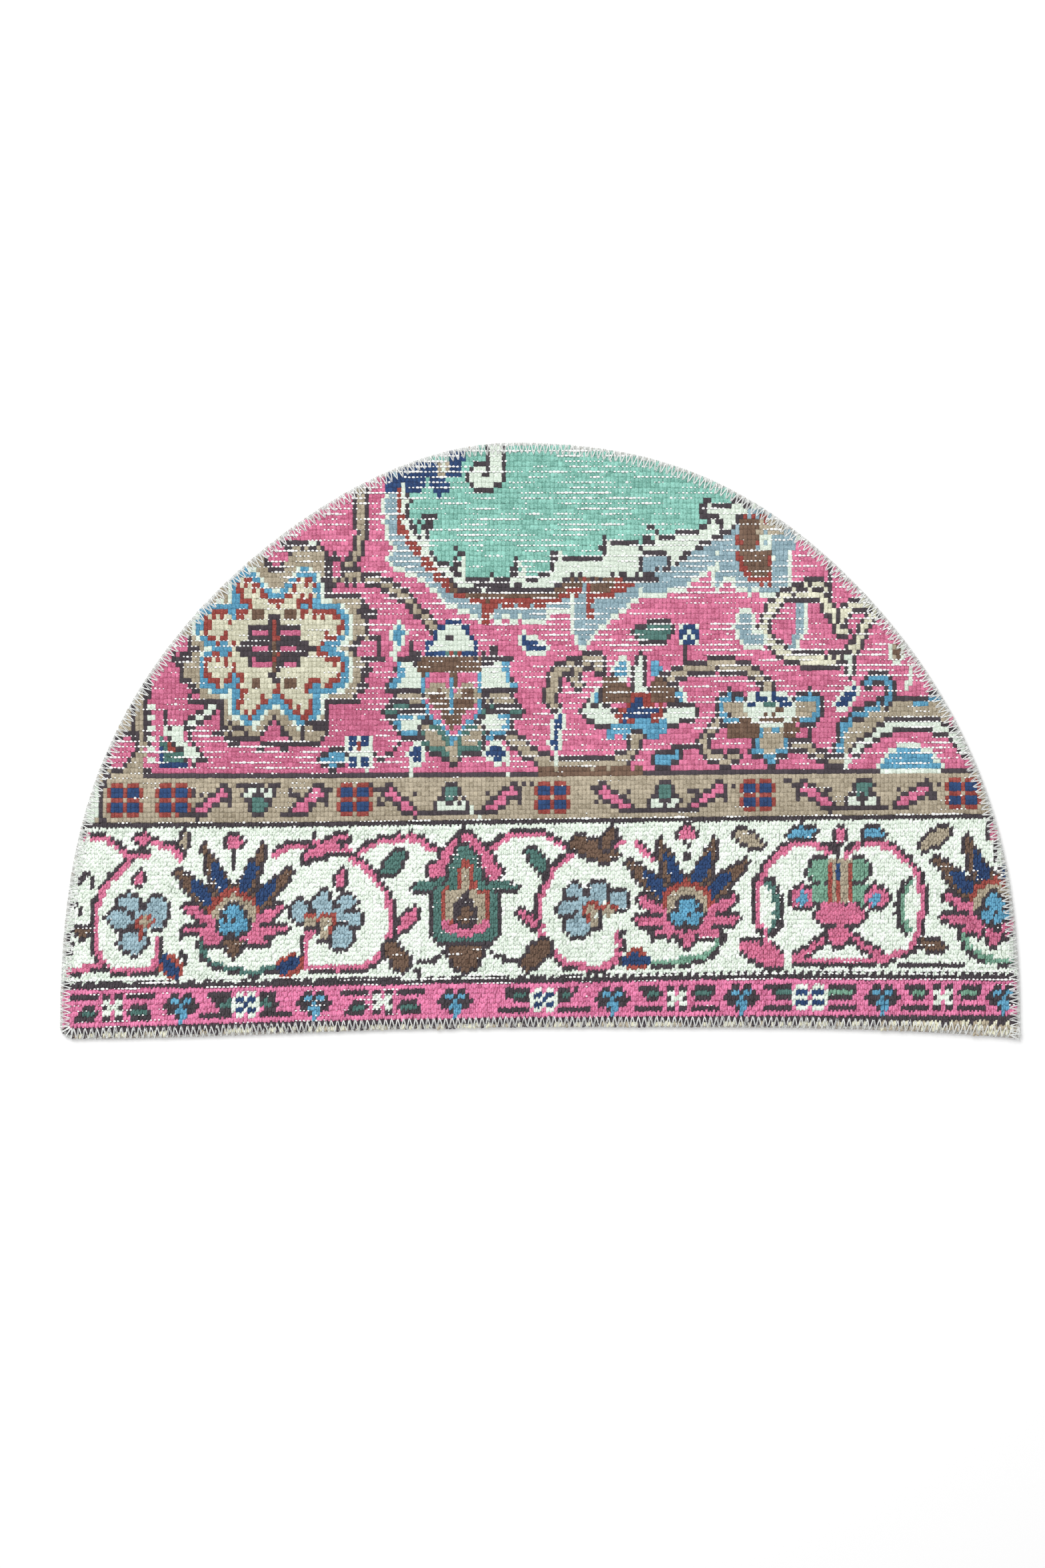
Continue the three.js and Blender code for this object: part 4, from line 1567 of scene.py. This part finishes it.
# %% Places and sizes of the beads
LEAST_WEAR = 0.1  # from here on a bead shows
mine = inside & (WEAR > LEAST_WEAR) & (reach > 5)
row_of = np.nonzero(mine)[0]
wear, n = WEAR[mine], int(mine.sum())
fat = 0.48 + 0.45 * wear + rng.normal(0, 0.14, n) + 0.35 * (rng.random(n) < 0.05)  # mm, a few much fatter
fat = np.clip(fat, 0.3, 1.25)
at = np.column_stack([X[mine] + KNOT / 2, Y[mine] + row_step[row_of] * 0.5]) + rng.normal(0, 0.1, (n, 2))
top = HEIGHT[mine] - 0.1 + 0.1 * wear
print("beads:", n, "of", round(2 * float(fat.mean()), 2), "mm on average")

# %% Weft beads
rings = np.empty((n, 4, 4, 3))
for i, (part, size, drop) in enumerate(((-1, 0.4, 0.2), (-0.5, 1, 0), (0.5, 1, 0), (1, 0.4, 0.2))):
    reach_x = (fat * 1.2 + 0.45 * wear * wear if abs(part) == 1 else fat * 0.65) * np.sign(part)
    for j, (side, up) in enumerate(((-1, 0), (0, -1), (1, 0), (0, 1))):
        rings[:, i, j, 0] = at[:, 0] + reach_x
        rings[:, i, j, 1] = at[:, 1] - side * fat * size
        rings[:, i, j, 2] = top - drop + up * 0.4 * size
weft = columns_mesh("weft", rings, cotton, np.repeat(0.5 + rng.normal(0, 0.1, n), 16))
print("weft:", len(weft.data.polygons), "faces")

# %% [markdown]
# ## The overcast rim
# A cut carpet frays, so its rim was overcast on a machine. Two things show. Loops of a pale thread lie
# close together round the rim, and long zigzag stitches reach about 10 mm into the pile. Both are bent
# tubes. A curve with a round bevel would also do, but every stitch goes through the same sections, so
# one array can hold them all, as it holds the tufts. First come the places of the stitches.

# %% Places round the rim
FEEL = 2.0  # mm to either side over which the direction of the rim is measured


def rim_frames(pitch):
    """Points about a pitch apart on the cut, with the directions that point along it and inwards."""
    ring = cut(arc_steps=1400, edge_steps=900)
    ring = np.vstack([ring, ring[:1]])
    run = np.concatenate([[0], np.cumsum(np.linalg.norm(np.diff(ring, axis=0), axis=1))])
    count = int(round(run[-1] / pitch))
    s = np.linspace(0, run[-1], count, endpoint=False)
    at, ahead, behind = (
        np.column_stack([np.interp((s + shift) % run[-1], run, ring[:, k]) for k in (0, 1)])
        for shift in (0, FEEL, -FEEL)
    )
    along = ahead - behind
    along /= np.linalg.norm(along, axis=1)[:, None]
    return at, along, np.column_stack([-along[:, 1], along[:, 0]])


print("rim:", round(len(rim_frames(1.0)[0]) / 1000, 2), "metres")

# %% Tubes
TUBE_CORNERS = np.radians([90, 210, 330])


def tubes(name, path, radius, shade):
    """Closed three-sided tubes along paths, given as (tubes, points, 3) in mm."""
    ahead = np.gradient(path, axis=1)
    ahead /= np.linalg.norm(ahead, axis=2)[..., None] + 1e-9
    side = np.cross(ahead, (0.03, 0.05, 1.0))
    side /= np.linalg.norm(side, axis=2)[..., None]
    up = np.cross(side, ahead)
    c, s = (turned[None, None, :, None] for turned in (np.cos(TUBE_CORNERS), np.sin(TUBE_CORNERS)))
    ring = side[:, :, None] * c + up[:, :, None] * s
    rings = path[:, :, None] + ring * radius
    piece = columns_mesh(name, rings, thread, np.repeat(shade, rings.shape[1] * 3))
    return piece


print("a tube has", len(TUBE_CORNERS), "sides")

# %% [markdown]
# ## Loops
# The thread wraps the rim from the underside to the top, about 1.3 mm apart, and no two loops lie quite
# alike. Along the straight edge it is darker and browner.

# %% Loops
# Each row is inset from the rim and height, in mm, from the underside to the top.
LOOP = np.array([(2.6, 0.4), (0.75, 0.5), (0.3, 2.0), (0.9, 3.7), (2.6, 4.35), (4.8, 3.7)])
at, along, inwards = rim_frames(1.3)
n = len(at)
jitter = rng.normal(0, 1, (n, 3))
lean = np.linspace(-1, 1, len(LOOP))[None, :] * (0.5 + 0.25 * jitter[:, :1])
depth = LOOP[None, :, 0] * (1 + 0.12 * jitter[:, 1:2])
path = np.empty((n, len(LOOP), 3))
path[..., :2] = at[:, None] + inwards[:, None] * depth[..., None] + along[:, None] * lean[..., None]
path[..., 2] = LOOP[None, :, 1] + 0.08 * jitter[:, 2:]
straight_edge = inwards[:, 1] > 0.97
loops = tubes("rim_loops", path, 0.33, np.clip(0.5 - 0.3 * straight_edge + rng.normal(0, 0.15, n), 0, 1))
print("loops:", n)

# %% [markdown]
# ## Zigzag
# From each needle hole in the pile two stitches spread to the rim and go round it to the underside. The
# thread is double, its two strands a little apart. In the borders it climbs with the higher pile.

# %% Zigzag
# Each row is inset and height, as above.
ZIG = np.array([(3.0, 0.35), (0.35, 0.6), (0.1, 2.4), (0.9, 4.1), (3.2, 4.9), (8.8, 4.9), (10.0, 3.4)])
PITCH, STRAND = 5.0, 0.3  # mm from one needle hole to the next, and from the middle to a strand
HALF_SPREAD = 2.4  # mm at the rim from a stitch to the line through its needle hole
at, along, inwards = rim_frames(PITCH)
n = len(at)
narrowing = np.interp(ZIG[:, 0], (0.5, 10), (1, 0.06))
paths = []
for side in (-1, 1):
    for strand in (-STRAND, STRAND):
        jitter = rng.normal(0, 1, (n, 3))
        spread = narrowing[None, :] * side * HALF_SPREAD
        path = np.empty((n, len(ZIG), 3))
        depth = ZIG[None, :, 0] * (1 + 0.05 * jitter[:, :1])
        path[..., :2] = at[:, None] + inwards[:, None] * depth[..., None]
        path[..., :2] += along[:, None] * (spread + strand + 0.12 * jitter[:, 1:2])[..., None]
        lift = pile_height(path[..., 0], path[..., 1]) - WORN_PILE
        path[..., 2] = ZIG[None, :, 1] + np.clip(lift, -0.3, 2) * smooth(2, 8, depth) * 0.85
        paths.append(path)
path = np.concatenate(paths)
zigzag = tubes("rim_zigzag", path, 0.29, np.clip(0.95 + rng.normal(0, 0.06, len(path)), 0, 1))
print("zigzag:", len(path), "stitches,", len(zigzag.data.polygons), "faces")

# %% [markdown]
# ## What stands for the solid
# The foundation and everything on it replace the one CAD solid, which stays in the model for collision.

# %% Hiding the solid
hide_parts("knotted_rug")
px, py = cut().T

# %% [markdown]
# ## Floor
# The rug was photographed from straight above, on white. A picture of nothing but white would leave it
# floating, so a near-white floor takes its soft shadow. It is far bigger than the rug, so that its edge
# shows from no side.

# %% Floor
FLOOR_REACH = 6.0  # metres from its middle to each side
bm = bmesh.new()
bmesh.ops.create_grid(bm, x_segments=1, y_segments=1, size=FLOOR_REACH)
bmesh.ops.translate(bm, verts=bm.verts[:], vec=(0, 0, -0.0005))  # clear of the rug's underside
mesh = bpy.data.meshes.new("floor")
bm.to_mesh(mesh)
bm.free()
floor_material = bpy.data.materials.new("floor_paint")
floor_material.use_nodes = True
paint_shader = floor_material.node_tree.nodes["Principled BSDF"]
paint_shader.inputs["Base Color"].default_value = linear("#fbfbfb")
paint_shader.inputs["Roughness"].default_value = 0.9
mesh.materials.append(floor_material)
floor = bpy.data.objects.new("floor", mesh)
bpy.context.scene.collection.objects.link(floor)
print("floor:", 2 * FLOOR_REACH, "metres wide")

# %% [markdown]
# ## Light
# The photo has even light with hardly a shadow. A white sky gives that. One broad soft lamp from the
# crown's side adds just enough shade between the tufts to show them. The view transform is Standard, so
# the dyes come out as they are mixed.

# %% Light
SKY_STRENGTH = 0.75
LAMP_SIZE, LAMP_POWER = 1.6, 40  # metres and watts
LAMP_PLACE = (-0.7, 1.3, 2.0)
world = bpy.data.worlds.new("studio")
world.use_nodes = True
sky = world.node_tree.nodes["Background"]
sky.inputs["Color"].default_value = (1, 1, 1, 1)
sky.inputs["Strength"].default_value = SKY_STRENGTH
bpy.context.scene.world = world
lamp_data = bpy.data.lights.new("softbox", "AREA")
lamp_data.shape = "SQUARE"
lamp_data.size = LAMP_SIZE
lamp_data.energy = LAMP_POWER
lamp = bpy.data.objects.new("softbox", lamp_data)
lamp.location = LAMP_PLACE
bpy.context.scene.collection.objects.link(lamp)
aim = bpy.data.objects.new("aim", None)
bpy.context.scene.collection.objects.link(aim)
track = lamp.constraints.new("TRACK_TO")
track.target = aim
track.track_axis = "TRACK_NEGATIVE_Z"
track.up_axis = "UP_Y"
bpy.context.scene.view_settings.view_transform = "Standard"
print("lamp:", LAMP_POWER, "watts at", LAMP_PLACE)

# %% [markdown]
# ## Camera
# It looks straight down, as in the photo, from far enough for a 50 mm lens to take in the whole rug. The
# rug lay a little to the right of the photo's middle and above it, so the camera stands as much to the
# left and below.

# %% Camera
FRAME_HEIGHT = 1.303  # metres from top to bottom of the picture, at the height of the pile
PILE_TOP = 0.005  # metres
camera_data = bpy.data.cameras.new("camera")
camera_data.lens = 50
camera_data.sensor_width = 36
distance = FRAME_HEIGHT * camera_data.lens / camera_data.sensor_width
camera = bpy.data.objects.new("camera", camera_data)
camera.location = (-0.0147, -0.036, PILE_TOP + distance)
bpy.context.scene.collection.objects.link(camera)
bpy.context.scene.camera = camera
print("camera:", round(distance, 2), "metres above the pile")
